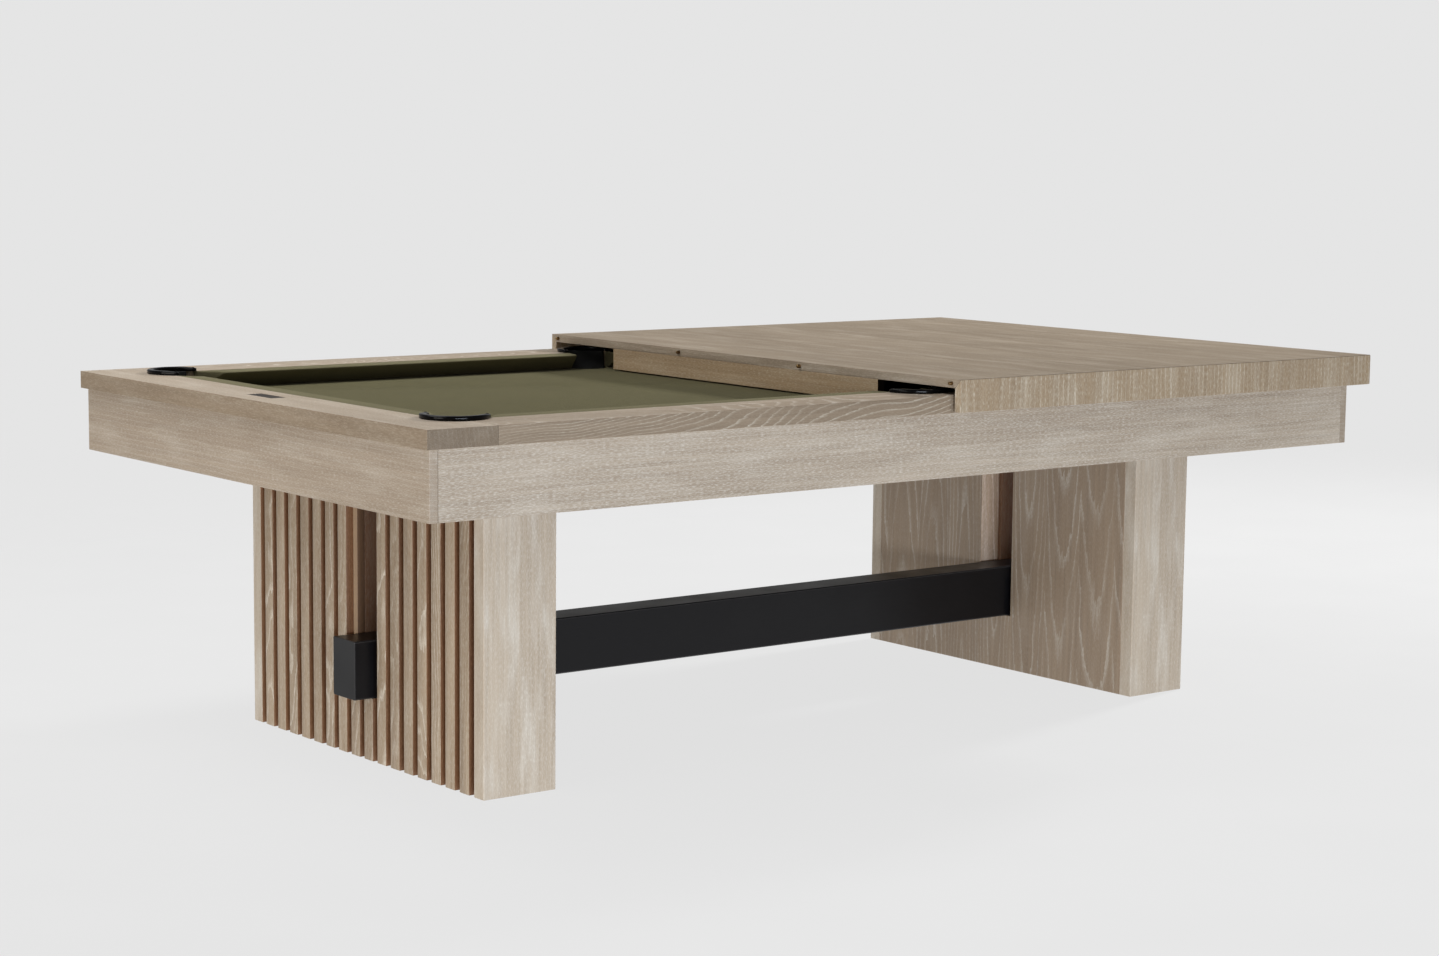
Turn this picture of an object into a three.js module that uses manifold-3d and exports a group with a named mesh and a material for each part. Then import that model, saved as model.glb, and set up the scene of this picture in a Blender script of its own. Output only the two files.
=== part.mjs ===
// An eight-foot pool table in limed oak: slatted pedestal legs joined by a black trestle beam,
// slate bed, six drop pockets, and the foot half of a lift-off dining top.
// Millimetres, +Z up. +X runs from the head end to the foot end, +Y to the left of someone
// who stands at the head end and looks at the foot. The origin is on the floor.
import * as THREE from "three";
import { mergeVertices } from "three/addons/utils/BufferGeometryUtils.js";
import Module from "manifold-3d";

const wasm = await Module();
wasm.setup();

// ---------------------------------------------------------------- driving dimensions
const GAP = 0.3; // running gap left between pieces that touch

const TABLE_L = 2591; // over the rails
const TABLE_W = 1473;
const TABLE_H = 787; // rail top above the floor

const RAIL_T = 38; // rail thickness
const RAIL_W = 127; // wooden top of a rail, outer edge to cushion
const BLOCK_L = 156; // end of a head or foot rail, seen on the long side
const CUSHION_W = 51; // cushion top, wood to nose
const NOSE_DROP = 2; // nose top under the rail top
const NOSE_T = 8; // height of the nose's flat front
const CUSHION_H = 31; // height of the cushion's back
const CUSHION_FOOT = 14; // how far the cushion's underside reaches out from the wood

const CLOTH_T = 1;
const SLATE_T = 25.4;
const SLATE_INSET_X = 63.5; // slate edge in from the rail's outer edge
const SLATE_JOINT_X = 412; // the two joints between the three slates

const APRON_T = 19;
const APRON_BOTTOM = 610;
const APRON_INSET = 12; // apron face behind the rail face

const CORNER_POCKET_IN = 160; // pocket centre in from both outer edges
const SIDE_POCKET_IN = 116.5;
const POCKET_R = 58; // hole in rail, cloth and slate
const IRON_R = 68; // pocket iron, outside
const IRON_W = 14;
const IRON_H = 9;
const IRON_BEVEL = 2.5;
const CORNER_ARM = 23; // straight arms of a corner iron past the pocket centre
const SIDE_ARM = 11;
const BUCKET_R = 56.5;
const BUCKET_T = 4;
const BUCKET_BOTTOM = 622;
const BUCKET_LIP_DROP = 5; // bucket mouth under the cloth on the field side
const CORNER_MOUTH = 86; // nose line end to the meeting point of the two nose lines
const CORNER_FACING = 52; // length of the slanted cushion end along the rail
const SIDE_MOUTH_HALF = 65;
const SIDE_FACING = 12.5;

const LEG_TOP = 639.7;
const LEG_OUT_X = 1005; // slat faces
const LEG_IN_X = 831; // plain inner face
const SLAT_W = 36;
const SLAT_PITCH = 54;
const SLAT_DEPTH = 18;
const SLATS = 18; // counting the edges of the two side panels
const BACKING_T = 18;
const INNER_PANEL_T = 25;
const INNER_STILE_DEPTH = 59;
const STILE_W = 30;
const OUTER_SLOT_HALF = 46.5;
const INNER_SLOT_HALF = 56;

const BEAM_HALF = 45;
const BEAM_BOTTOM = 136;
const BEAM_TOP = 262;
const BEAM_END = 1048;
const BEAM_EASE = 2.5; // small chamfer along the beam's edges
const SILL_H = 36; // board under the beam inside each leg

const FRAME_W = 45; // hidden frame timbers under the slate
const FRAME_BEAM_Y = 442.5;
const FRAME_BEAM_END = 1225;
const FRAME_CROSS_END = 650;

const TOP_T = 19; // dining top: panel and skirts
const TOP_Z = 822;
const SKIRT_BOTTOM = 752;
const TOP_SIDE_GAP = 9; // skirt to rail, long sides
const TOP_FOOT_GAP = 3.5;
const CROSS_BOARD_HALF = 497;
const PIN_R = 4;
const PIN_OUT = 9;
const PIN_IN = 22;
const PIN_Z = 812.5;
const PIN_Y = [-735, -227, 227, 735];
const STRIP_Y = [655, 700]; // rest strips on the side rails
const STRIP_X = [80, 1240];

const PLATE_X = 1227; // blank name plate let into the head rail
const PLATE_L = 105;
const PLATE_W = 34;
const PLATE_T = 1.4;

const ROUND_SEGMENTS = 32;
const IRON_SEGMENTS = 8; // half the number of flats in each arc of an iron

// ---------------------------------------------------------------- dimensions that follow
const HALF_L = TABLE_L / 2;
const HALF_W = TABLE_W / 2;
const RAIL_BOTTOM = TABLE_H - RAIL_T;
const CLOTH_TOP = RAIL_BOTTOM - GAP;
const SLATE_TOP = CLOTH_TOP - CLOTH_T - GAP;
const SLATE_BOTTOM = SLATE_TOP - SLATE_T;
const FRAME_TOP = SLATE_BOTTOM - GAP;
const FRAME_BOTTOM = LEG_TOP + GAP;
const WOOD_X = HALF_L - RAIL_W; // inner edges of the wood
const WOOD_Y = HALF_W - RAIL_W;
const NOSE_X = WOOD_X - CUSHION_W;
const NOSE_Y = WOOD_Y - CUSHION_W;
const JOINT_X = HALF_L - BLOCK_L; // joint between end rail and side rail
const SLATE_X = HALF_L - SLATE_INSET_X;
const SLATE_Y = HALF_W - SLATE_INSET_X;
const APRON_X = HALF_L - APRON_INSET;
const APRON_Y = HALF_W - APRON_INSET;
const LEG_HALF = ((SLATS - 1) * SLAT_PITCH + SLAT_W) / 2;
const TOP_END = HALF_L + TOP_FOOT_GAP + TOP_T;
const TOP_HALF = HALF_W + TOP_SIDE_GAP + TOP_T;
const PANEL_BOTTOM = TOP_Z - TOP_T;
const FAR = 4000; // longer than anything here, for cutting tools
const HEAD = -1;
const FOOT = 1;
const RIGHT = -1;
const LEFT = 1;
const ENDS = [
  ["head", HEAD],
  ["foot", FOOT],
];
const SIDES = [
  ["right", RIGHT],
  ["left", LEFT],
];

// Pockets: plan place and the unit direction that points away from the playing field.
const DIAGONAL = Math.SQRT1_2;
const pockets = [];
for (const [side, sy] of SIDES) {
  for (const [end, sx] of ENDS) {
    pockets.push({
      name: `${end}_${side}`,
      x: sx * (HALF_L - CORNER_POCKET_IN),
      y: sy * (HALF_W - CORNER_POCKET_IN),
      out: [sx * DIAGONAL, sy * DIAGONAL],
      arm: CORNER_ARM,
    });
  }
  pockets.push({
    name: `side_${side}`,
    x: 0,
    y: sy * (HALF_W - SIDE_POCKET_IN),
    out: [0, sy],
    arm: SIDE_ARM,
  });
}

// ---------------------------------------------------------------- materials
function finish(color, roughness, metalness = 0) {
  return new THREE.MeshStandardMaterial({ color, roughness, metalness });
}
const OAK = finish(0xbcab97, 0.55);
const DARK_OAK = finish(0x8c7a66, 0.6);
const CLOTH = finish(0x716d4e, 0.95);
const SLATE = finish(0x5a5c5e, 0.8);
const BLACK_GLOSS = finish(0x0a0a0c, 0.2);
const BLACK_SATIN = finish(0x1c1b1e, 0.4);
const LINER = finish(0x0d0d0e, 0.7);
const FRAME_WOOD = finish(0xb89a6e, 0.75);
const BRASS = finish(0x8a6a3c, 0.35, 1);
const PLATE = finish(0x2c2520, 0.35, 0.6);
const FELT = finish(0x222222, 0.95);

// ---------------------------------------------------------------- shape helpers
// A three.js geometry as a solid that can be joined and cut.
function solid(geometry) {
  const bare = geometry.clone();
  bare.deleteAttribute("normal");
  bare.deleteAttribute("uv");
  const merged = mergeVertices(bare, 1e-4);
  return new wasm.Manifold(
    new wasm.Mesh({
      numProp: 3,
      vertProperties: new Float32Array(merged.attributes.position.array),
      triVerts: new Uint32Array(merged.index.array),
    }),
  );
}

// A joined or cut solid back as a three.js geometry.
function geometryOf(manifold) {
  const { numProp, vertProperties, triVerts } = manifold.getMesh();
  const position = new Float32Array((vertProperties.length / numProp) * 3);
  for (let i = 0; i < position.length / 3; i++) {
    position.set(vertProperties.subarray(i * numProp, i * numProp + 3), i * 3);
  }
  const geometry = new THREE.BufferGeometry();
  geometry.setAttribute("position", new THREE.BufferAttribute(position, 3));
  geometry.setIndex(new THREE.BufferAttribute(new Uint32Array(triVerts), 1));
  geometry.computeVertexNormals();
  return geometry;
}

function mesh(name, shape, material) {
  const geometry = shape.isBufferGeometry ? shape : geometryOf(shape);
  const made = new THREE.Mesh(geometry, material);
  made.name = name;
  return made;
}

// A box from its low and high faces; the two values of an axis may come in either order.
function box([xa, xb], [ya, yb], [za, zb]) {
  const geometry = new THREE.BoxGeometry(Math.abs(xb - xa), Math.abs(yb - ya), Math.abs(zb - za));
  return solid(geometry.translate((xa + xb) / 2, (ya + yb) / 2, (za + zb) / 2));
}

// A box with chamfered long edges, running along X.
function easedBeam(halfLength, halfWidth, bottom, top, ease) {
  const section = polygon([
    [-halfWidth + ease, bottom],
    [halfWidth - ease, bottom],
    [halfWidth, bottom + ease],
    [halfWidth, top - ease],
    [halfWidth - ease, top],
    [-halfWidth + ease, top],
    [-halfWidth, top - ease],
    [-halfWidth, bottom + ease],
  ]);
  return alongX(section, -halfLength, halfLength);
}

function polygon(points) {
  return new THREE.Shape(points.map(([x, y]) => new THREE.Vector2(x, y)));
}

// A plan outline extruded straight up.
function upright(shape, low, high, options = {}) {
  const geometry = new THREE.ExtrudeGeometry(shape, {
    depth: high - low,
    bevelEnabled: false,
    ...options,
  });
  return geometry.translate(0, 0, low);
}

// A (y, z) section carried along X.
function alongX(section, low, high) {
  const geometry = upright(section, low, high);
  const turn = new THREE.Matrix4().makeBasis(
    new THREE.Vector3(0, 1, 0),
    new THREE.Vector3(0, 0, 1),
    new THREE.Vector3(1, 0, 0),
  );
  return solid(geometry.applyMatrix4(turn));
}

// An (x, z) section carried along Y.
function alongY(section, low, high) {
  const geometry = upright(section, -high, -low);
  const turn = new THREE.Matrix4().makeBasis(
    new THREE.Vector3(1, 0, 0),
    new THREE.Vector3(0, 0, 1),
    new THREE.Vector3(0, -1, 0),
  );
  return solid(geometry.applyMatrix4(turn));
}

// A vertical cylinder on a pocket centre.
function pocketHole(pocket, radius, low, high) {
  const geometry = new THREE.CylinderGeometry(radius, radius, high - low, ROUND_SEGMENTS);
  geometry.rotateX(Math.PI / 2).translate(pocket.x, pocket.y, (low + high) / 2);
  return solid(geometry);
}

// A block turned to a pocket's direction; "from" and "to" are measured outwards from its centre.
function pocketBlock(pocket, from, to, halfWidth, low, high) {
  const geometry = new THREE.BoxGeometry(to - from, 2 * halfWidth, high - low);
  geometry.translate((from + to) / 2, 0, (low + high) / 2);
  geometry.rotateZ(Math.atan2(pocket.out[1], pocket.out[0]));
  return solid(geometry.translate(pocket.x, pocket.y, 0));
}

function cutPockets(body) {
  return pockets.reduce((left, p) => left.subtract(pocketHole(p, POCKET_R, 0, FAR)), body);
}

// ---------------------------------------------------------------- rails and cushions
// The end rails run the full width and turn the corner, so their ends show on the long sides.
function endRail(sx) {
  const zs = [RAIL_BOTTOM, TABLE_H];
  let rail = box([sx * HALF_L, sx * WOOD_X], [-HALF_W, HALF_W], zs);
  for (const [, sy] of SIDES) {
    rail = rail.add(box([sx * HALF_L, sx * JOINT_X], [sy * HALF_W, sy * WOOD_Y], zs));
  }
  return cutPockets(rail);
}

function headRail() {
  const recess = box(
    [-PLATE_X - PLATE_W / 2 - GAP, -PLATE_X + PLATE_W / 2 + GAP],
    [-PLATE_L / 2 - GAP, PLATE_L / 2 + GAP],
    [TABLE_H - PLATE_T - 2 * GAP, FAR],
  );
  return endRail(HEAD).subtract(recess);
}

function namePlate() {
  return box(
    [-PLATE_X - PLATE_W / 2, -PLATE_X + PLATE_W / 2],
    [-PLATE_L / 2, PLATE_L / 2],
    [TABLE_H - PLATE_T - GAP, TABLE_H - GAP],
  );
}

function sideRail(sx, sy) {
  const rail = box(
    [(sx * GAP) / 2, sx * (JOINT_X - GAP)],
    [sy * HALF_W, sy * WOOD_Y],
    [RAIL_BOTTOM, TABLE_H],
  );
  return cutPockets(rail);
}

// Section of a cushion: "back" is the wood's inner edge, "s" the direction away from the field.
function cushionSection(back, s) {
  const top = TABLE_H - GAP;
  const noseTop = TABLE_H - NOSE_DROP;
  const low = top - CUSHION_H;
  const nose = back - s * CUSHION_W;
  return polygon([
    [back - s * GAP, low],
    [back - s * GAP, top],
    [nose + s * NOSE_T, top],
    [nose, noseTop - NOSE_DROP],
    [nose, noseTop - NOSE_T],
    [back - s * CUSHION_FOOT, low],
  ]);
}

function endCushion(sx) {
  const noseEnd = NOSE_Y - CORNER_MOUTH;
  const backEnd = noseEnd + CORNER_FACING;
  const plan = polygon([
    [sx * WOOD_X, -backEnd],
    [sx * NOSE_X, -noseEnd],
    [sx * NOSE_X, noseEnd],
    [sx * WOOD_X, backEnd],
  ]);
  const prism = alongY(cushionSection(sx * WOOD_X, sx), -HALF_W, HALF_W);
  return prism.intersect(solid(upright(plan, 0, FAR)));
}

function sideCushion(sx, sy) {
  const noseEnd = NOSE_X - CORNER_MOUTH;
  const plan = polygon([
    [sx * (noseEnd + CORNER_FACING), sy * WOOD_Y],
    [sx * noseEnd, sy * NOSE_Y],
    [sx * SIDE_MOUTH_HALF, sy * NOSE_Y],
    [sx * (SIDE_MOUTH_HALF - SIDE_FACING), sy * WOOD_Y],
  ]);
  const prism = alongX(cushionSection(sy * WOOD_Y, sy), -HALF_L, HALF_L);
  return prism.intersect(solid(upright(plan, 0, FAR)));
}

// ---------------------------------------------------------------- pockets
// A horseshoe with rounded tips, open towards the playing field.
function pocketIron(pocket) {
  const outer = IRON_R - IRON_BEVEL;
  const inner = IRON_R - IRON_W + IRON_BEVEL;
  const middle = (outer + inner) / 2;
  const tip = (outer - inner) / 2;
  const arm = tip - pocket.arm;
  const quarter = Math.PI / 2;
  const outline = new THREE.Shape();
  outline.moveTo(arm, -outer);
  outline.lineTo(0, -outer);
  outline.absarc(0, 0, outer, -quarter, quarter, false);
  outline.lineTo(arm, outer);
  outline.absarc(arm, middle, tip, quarter, 3 * quarter, false);
  outline.lineTo(0, inner);
  outline.absarc(0, 0, inner, quarter, -quarter, true);
  outline.lineTo(arm, -inner);
  outline.absarc(arm, -middle, tip, quarter, 3 * quarter, false);
  const low = TABLE_H + GAP + IRON_BEVEL;
  const high = TABLE_H + GAP + IRON_H - IRON_BEVEL;
  const geometry = upright(outline, low, high, {
    bevelEnabled: true,
    bevelThickness: IRON_BEVEL,
    bevelSize: IRON_BEVEL,
    bevelSegments: 1,
    curveSegments: IRON_SEGMENTS,
  });
  geometry.rotateZ(Math.atan2(pocket.out[1], pocket.out[0]));
  return solid(geometry.translate(pocket.x, pocket.y, 0));
}

// A round cup under the iron; its wall is cut down below the cloth on the field side.
function pocketBucket(pocket) {
  const top = TABLE_H - GAP;
  const wall = BUCKET_R - BUCKET_T;
  const profile = [
    [0, BUCKET_BOTTOM],
    [BUCKET_R, BUCKET_BOTTOM],
    [BUCKET_R, top],
    [wall, top],
    [wall, BUCKET_BOTTOM + BUCKET_T],
    [0, BUCKET_BOTTOM + BUCKET_T],
  ].map(([r, z]) => new THREE.Vector2(r, z));
  const geometry = new THREE.LatheGeometry(profile, ROUND_SEGMENTS);
  geometry.rotateX(Math.PI / 2).translate(pocket.x, pocket.y, 0);
  const lip = CLOTH_TOP - BUCKET_LIP_DROP;
  return solid(geometry).subtract(pocketBlock(pocket, -FAR, -BUCKET_T, FAR, lip, FAR));
}

// ---------------------------------------------------------------- bed
// Pocket holes that are open to the edge, as in slate and cloth.
function cutThroats(body) {
  const cut = (left, p) => left.subtract(pocketBlock(p, 0, 3 * POCKET_R, POCKET_R, 0, FAR));
  return pockets.reduce(cut, cutPockets(body));
}

function slate(xs) {
  return cutThroats(box(xs, [-SLATE_Y, SLATE_Y], [SLATE_BOTTOM, SLATE_TOP]));
}

function bedCloth() {
  return cutThroats(box([-SLATE_X, SLATE_X], [-SLATE_Y, SLATE_Y], [SLATE_TOP + GAP, CLOTH_TOP]));
}

// Two long timbers and two cross timbers, halved over each other, carry the slate.
const CROSS_X = (LEG_OUT_X + LEG_IN_X) / 2;
const HALVING = (FRAME_BOTTOM + FRAME_TOP) / 2;
const around = (centre, extra = 0) => [centre - FRAME_W / 2 - extra, centre + FRAME_W / 2 + extra];

function frameBeam(sy) {
  const ys = around(sy * FRAME_BEAM_Y);
  let beam = box([-FRAME_BEAM_END, FRAME_BEAM_END], ys, [FRAME_BOTTOM, FRAME_TOP]);
  for (const [, sx] of ENDS) {
    beam = beam.subtract(box(around(sx * CROSS_X, GAP), [-FAR, FAR], [0, HALVING]));
  }
  return beam;
}

function frameCross(sx) {
  const ys = [-FRAME_CROSS_END, FRAME_CROSS_END];
  let cross = box(around(sx * CROSS_X), ys, [FRAME_BOTTOM, FRAME_TOP]);
  for (const [, sy] of SIDES) {
    cross = cross.subtract(box([-FAR, FAR], around(sy * FRAME_BEAM_Y, GAP), [HALVING - GAP, FAR]));
  }
  return cross;
}

function endApron(sx) {
  return box(
    [sx * APRON_X, sx * (APRON_X - APRON_T)],
    [-APRON_Y, APRON_Y],
    [APRON_BOTTOM, RAIL_BOTTOM - GAP],
  );
}

function sideApron(sy) {
  const end = APRON_X - APRON_T - GAP;
  const ys = [sy * APRON_Y, sy * (APRON_Y - APRON_T)];
  return box([-end, end], ys, [APRON_BOTTOM, RAIL_BOTTOM - GAP]);
}

// ---------------------------------------------------------------- legs and trestle beam
const PANEL_HALF = LEG_HALF - SLAT_W - GAP; // half width between the two side panels
const SLOT_FLOOR = BEAM_BOTTOM - GAP;
const BACKING_X = LEG_OUT_X - SLAT_DEPTH;
const LINING_X = BACKING_X - BACKING_T - GAP;
const INNER_STILE_X = LEG_IN_X + INNER_STILE_DEPTH;

// Slats standing on one backing board, with the slot that the beam passes through.
function slattedPanel(sx) {
  const backing = [sx * BACKING_X, sx * (BACKING_X - BACKING_T)];
  let panel = box(backing, [-PANEL_HALF, PANEL_HALF], [0, LEG_TOP]);
  const slot = [-OUTER_SLOT_HALF, OUTER_SLOT_HALF];
  panel = panel.subtract(box([-FAR, FAR], slot, [SLOT_FLOOR, FAR]));
  for (let i = 1; i < SLATS - 1; i++) {
    const y = -LEG_HALF + i * SLAT_PITCH;
    const centre = y + SLAT_W / 2;
    const top = Math.abs(centre) < BEAM_HALF ? SLOT_FLOOR : LEG_TOP;
    panel = panel.add(box([sx * LEG_OUT_X, sx * (BACKING_X - 1)], [y, y + SLAT_W], [0, top]));
  }
  return panel;
}

function sidePanel(sx, sy) {
  const ys = [sy * LEG_HALF, sy * (LEG_HALF - SLAT_W)];
  return box([sx * LEG_OUT_X, sx * LEG_IN_X], ys, [0, LEG_TOP]);
}

// The plain inner face, thickened by stiles along its slot.
function innerPanel(sx) {
  const board = [sx * LEG_IN_X, sx * (LEG_IN_X + INNER_PANEL_T)];
  const stile = INNER_SLOT_HALF + STILE_W;
  let panel = box(board, [-PANEL_HALF, PANEL_HALF], [0, LEG_TOP]);
  panel = panel.add(box([sx * LEG_IN_X, sx * INNER_STILE_X], [-stile, stile], [0, LEG_TOP]));
  const slot = [-INNER_SLOT_HALF, INNER_SLOT_HALF];
  return panel.subtract(box([-FAR, FAR], slot, [SLOT_FLOOR, FAR]));
}

// Two stiles and the sill that carries the beam, between the outer and the inner panel.
function slotLining(sx) {
  const xs = [sx * (INNER_STILE_X + GAP), sx * LINING_X];
  const half = OUTER_SLOT_HALF + STILE_W;
  const block = box(xs, [-half, half], [BEAM_BOTTOM - SILL_H, LEG_TOP]);
  const slot = [-OUTER_SLOT_HALF, OUTER_SLOT_HALF];
  return block.subtract(box([-FAR, FAR], slot, [SLOT_FLOOR, FAR]));
}

function trestleBeam() {
  return easedBeam(BEAM_END, BEAM_HALF, BEAM_BOTTOM, BEAM_TOP, BEAM_EASE);
}

// ---------------------------------------------------------------- dining top, foot half
// Mitred where it meets the skirts, so that the grain turns the edge.
function topPanel() {
  const out = TOP_HALF - GAP;
  const plan = [0, TOP_END - GAP];
  const low = TOP_T;
  const section = polygon([
    [-out, TOP_Z],
    [out, TOP_Z],
    [out - low, PANEL_BOTTOM],
    [-out + low, PANEL_BOTTOM],
  ]);
  const footMitre = polygon([
    [plan[0], PANEL_BOTTOM],
    [plan[1] - low, PANEL_BOTTOM],
    [plan[1], TOP_Z],
    [plan[0], TOP_Z],
  ]);
  let panel = alongX(section, plan[0], plan[1]).intersect(alongY(footMitre, -TOP_HALF, TOP_HALF));
  for (const y of PIN_Y) {
    panel = panel.subtract(pin(y, PIN_R + GAP, -PIN_OUT, PIN_IN + GAP));
  }
  return panel;
}

// Sections of the skirts: mitred at the top against the panel.
const skirtSection = (out, s) => {
  return polygon([
    [out, SKIRT_BOTTOM],
    [out, TOP_Z - GAP],
    [out - s * TOP_T, PANEL_BOTTOM - GAP],
    [out - s * TOP_T, SKIRT_BOTTOM],
  ]);
};

// Plan wedge that mitres a side skirt against the foot skirt.
function cornerWedge(sy, side) {
  const corner = [TOP_END - side * GAP, sy * TOP_HALF];
  const reach = 2 * TOP_T;
  const inner = [corner[0] - reach, sy * (TOP_HALF - reach)];
  const outer = [corner[0] + reach, sy * (TOP_HALF + reach)];
  const past = side > 0 ? [FAR, sy * (TOP_HALF - reach)] : [corner[0] - reach, sy * FAR];
  return solid(upright(polygon([inner, outer, past]), 0, FAR));
}

function sideSkirt(sy) {
  const skirt = alongX(skirtSection(sy * TOP_HALF, sy), 0, TOP_END);
  return skirt.subtract(cornerWedge(sy, 1));
}

function footSkirt() {
  const skirt = alongY(skirtSection(TOP_END, 1), -TOP_HALF, TOP_HALF);
  return SIDES.reduce((left, [, sy]) => left.subtract(cornerWedge(sy, 0)), skirt);
}

// The board under the middle edge; it hangs between the side cushions.
function crossBoard() {
  return box(
    [0, TOP_T],
    [-CROSS_BOARD_HALF, CROSS_BOARD_HALF],
    [SKIRT_BOTTOM, PANEL_BOTTOM - GAP],
  );
}

function restStrip(sy) {
  return box(
    STRIP_X,
    STRIP_Y.map((y) => sy * y),
    [TABLE_H + GAP, PANEL_BOTTOM - GAP],
  );
}

// Alignment pins stand out of the middle edge and enter the other half of the top.
function pin(y, radius, from, to) {
  const geometry = new THREE.CylinderGeometry(radius, radius, to - from, ROUND_SEGMENTS / 2);
  return solid(geometry.rotateZ(Math.PI / 2).translate((from + to) / 2, y, PIN_Z));
}

// ---------------------------------------------------------------- assembly
const table = new THREE.Group();
table.add(mesh("head_rail", headRail(), OAK));
table.add(mesh("foot_rail", endRail(FOOT), OAK));
table.add(mesh("name_plate", namePlate(), PLATE));
for (const [end, sx] of ENDS) {
  table.add(mesh(`${end}_cushion`, endCushion(sx), CLOTH));
  table.add(mesh(`${end}_apron`, endApron(sx), OAK));
  table.add(mesh(`${end}_frame_cross`, frameCross(sx), FRAME_WOOD));
  table.add(mesh(`${end}_leg_slatted_panel`, slattedPanel(sx), OAK));
  table.add(mesh(`${end}_leg_inner_panel`, innerPanel(sx), OAK));
  table.add(mesh(`${end}_leg_slot_lining`, slotLining(sx), DARK_OAK));
  for (const [side, sy] of SIDES) {
    table.add(mesh(`${end}_leg_${side}_panel`, sidePanel(sx, sy), OAK));
    table.add(mesh(`${end}_${side}_rail`, sideRail(sx, sy), OAK));
    table.add(mesh(`${end}_${side}_cushion`, sideCushion(sx, sy), CLOTH));
  }
}
for (const [side, sy] of SIDES) {
  table.add(mesh(`${side}_apron`, sideApron(sy), OAK));
  table.add(mesh(`${side}_frame_beam`, frameBeam(sy), FRAME_WOOD));
}
for (const pocket of pockets) {
  table.add(mesh(`${pocket.name}_pocket_iron`, pocketIron(pocket), BLACK_GLOSS));
  table.add(mesh(`${pocket.name}_pocket_bucket`, pocketBucket(pocket), LINER));
}
table.add(mesh("head_slate", slate([-SLATE_X, -SLATE_JOINT_X - GAP / 2]), SLATE));
table.add(mesh("middle_slate", slate([-SLATE_JOINT_X + GAP / 2, SLATE_JOINT_X - GAP / 2]), SLATE));
table.add(mesh("foot_slate", slate([SLATE_JOINT_X + GAP / 2, SLATE_X]), SLATE));
table.add(mesh("bed_cloth", bedCloth(), CLOTH));
table.add(mesh("trestle_beam", trestleBeam(), BLACK_SATIN));

const diningTop = new THREE.Group();
diningTop.add(mesh("dining_top_panel", topPanel(), OAK));
diningTop.add(mesh("dining_top_foot_skirt", footSkirt(), OAK));
diningTop.add(mesh("dining_top_cross_board", crossBoard(), OAK));
for (const [side, sy] of SIDES) {
  diningTop.add(mesh(`dining_top_${side}_skirt`, sideSkirt(sy), OAK));
  diningTop.add(mesh(`dining_top_${side}_rest_strip`, restStrip(sy), FELT));
}
PIN_Y.forEach((y, i) => {
  diningTop.add(mesh(`alignment_pin_${i + 1}`, pin(y, PIN_R, -PIN_OUT, PIN_IN), BRASS));
});

// The half top stands out past the foot rail, so the model moves back to sit centred.
const poolTable = new THREE.Group();
poolTable.add(table, diningTop);
poolTable.position.x = (HALF_L - TOP_END) / 2;

export default poolTable;
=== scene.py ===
# %% [markdown]
# # A pool table in limed oak, with the foot half of its dining top
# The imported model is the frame: every board, slate and timber already stands in its place.
# This lesson gives each of them its finish, and builds again the pieces whose real shape is
# softer than a plain solid: slats, cushions, bed cloth, pocket irons, pocket cups and pins.

# %% Load the frame
import math

import bpy
import numpy as np
from mathutils import Matrix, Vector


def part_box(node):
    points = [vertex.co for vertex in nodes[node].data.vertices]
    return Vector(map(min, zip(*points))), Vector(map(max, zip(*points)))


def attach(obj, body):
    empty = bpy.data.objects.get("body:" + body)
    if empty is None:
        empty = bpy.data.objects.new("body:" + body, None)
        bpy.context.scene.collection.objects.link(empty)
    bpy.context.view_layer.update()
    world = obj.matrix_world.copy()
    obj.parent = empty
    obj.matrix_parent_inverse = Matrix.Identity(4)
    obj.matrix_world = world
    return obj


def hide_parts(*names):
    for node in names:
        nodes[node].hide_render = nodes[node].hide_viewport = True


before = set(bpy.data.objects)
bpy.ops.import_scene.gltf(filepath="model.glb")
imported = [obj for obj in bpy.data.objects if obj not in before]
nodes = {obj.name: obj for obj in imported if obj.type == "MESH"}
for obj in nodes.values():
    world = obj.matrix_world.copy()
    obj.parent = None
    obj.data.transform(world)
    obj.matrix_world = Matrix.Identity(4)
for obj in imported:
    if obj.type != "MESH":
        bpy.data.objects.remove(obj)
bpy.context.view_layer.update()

# %% [markdown]
# ## Where things are
# Positions come from the boxes of the nodes. The table is not centred on the frame's origin,
# because the half top stands out past the foot rail, so its own middle is found first. GAP is
# the clearance that pieces keep where they touch.

# %% Middle of the table and the names that repeat
MM = 0.001
GAP = 0.3 * MM
TABLE_X = (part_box("head_rail")[0].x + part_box("foot_rail")[1].x) / 2
ENDS = {"head": -1, "foot": 1}
SIDES = {"right": -1, "left": 1}
print("table middle at x =", round(TABLE_X, 5))

# %% [markdown]
# ## Camera and backdrop
# The camera stands low in front of the right side, near the head end, and looks along the
# table. The backdrop is one even pale grey, and the floor is a pale disc that fades into it,
# so no horizon cuts across the picture.

# %% Camera
CAMERA_AT = (-4.0291, -5.1501, 1.3404)
YAW, PITCH, ROLL = 0.9143, -0.1228, 0.0104
LENS, SENSOR = 70.74, 36.0


def facing(place, target):
    """A matrix at place whose -Z looks at target and whose X is level."""
    back = np.array(place, float) - np.array(target, float)
    back /= np.linalg.norm(back)
    right = np.cross([0.0, 0.0, 1.0], back)
    right /= np.linalg.norm(right)
    whole = np.eye(4)
    whole[:3, :3] = np.stack([right, np.cross(back, right), back], axis=1)
    whole[:3, 3] = place
    return Matrix(whole.tolist())


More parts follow.
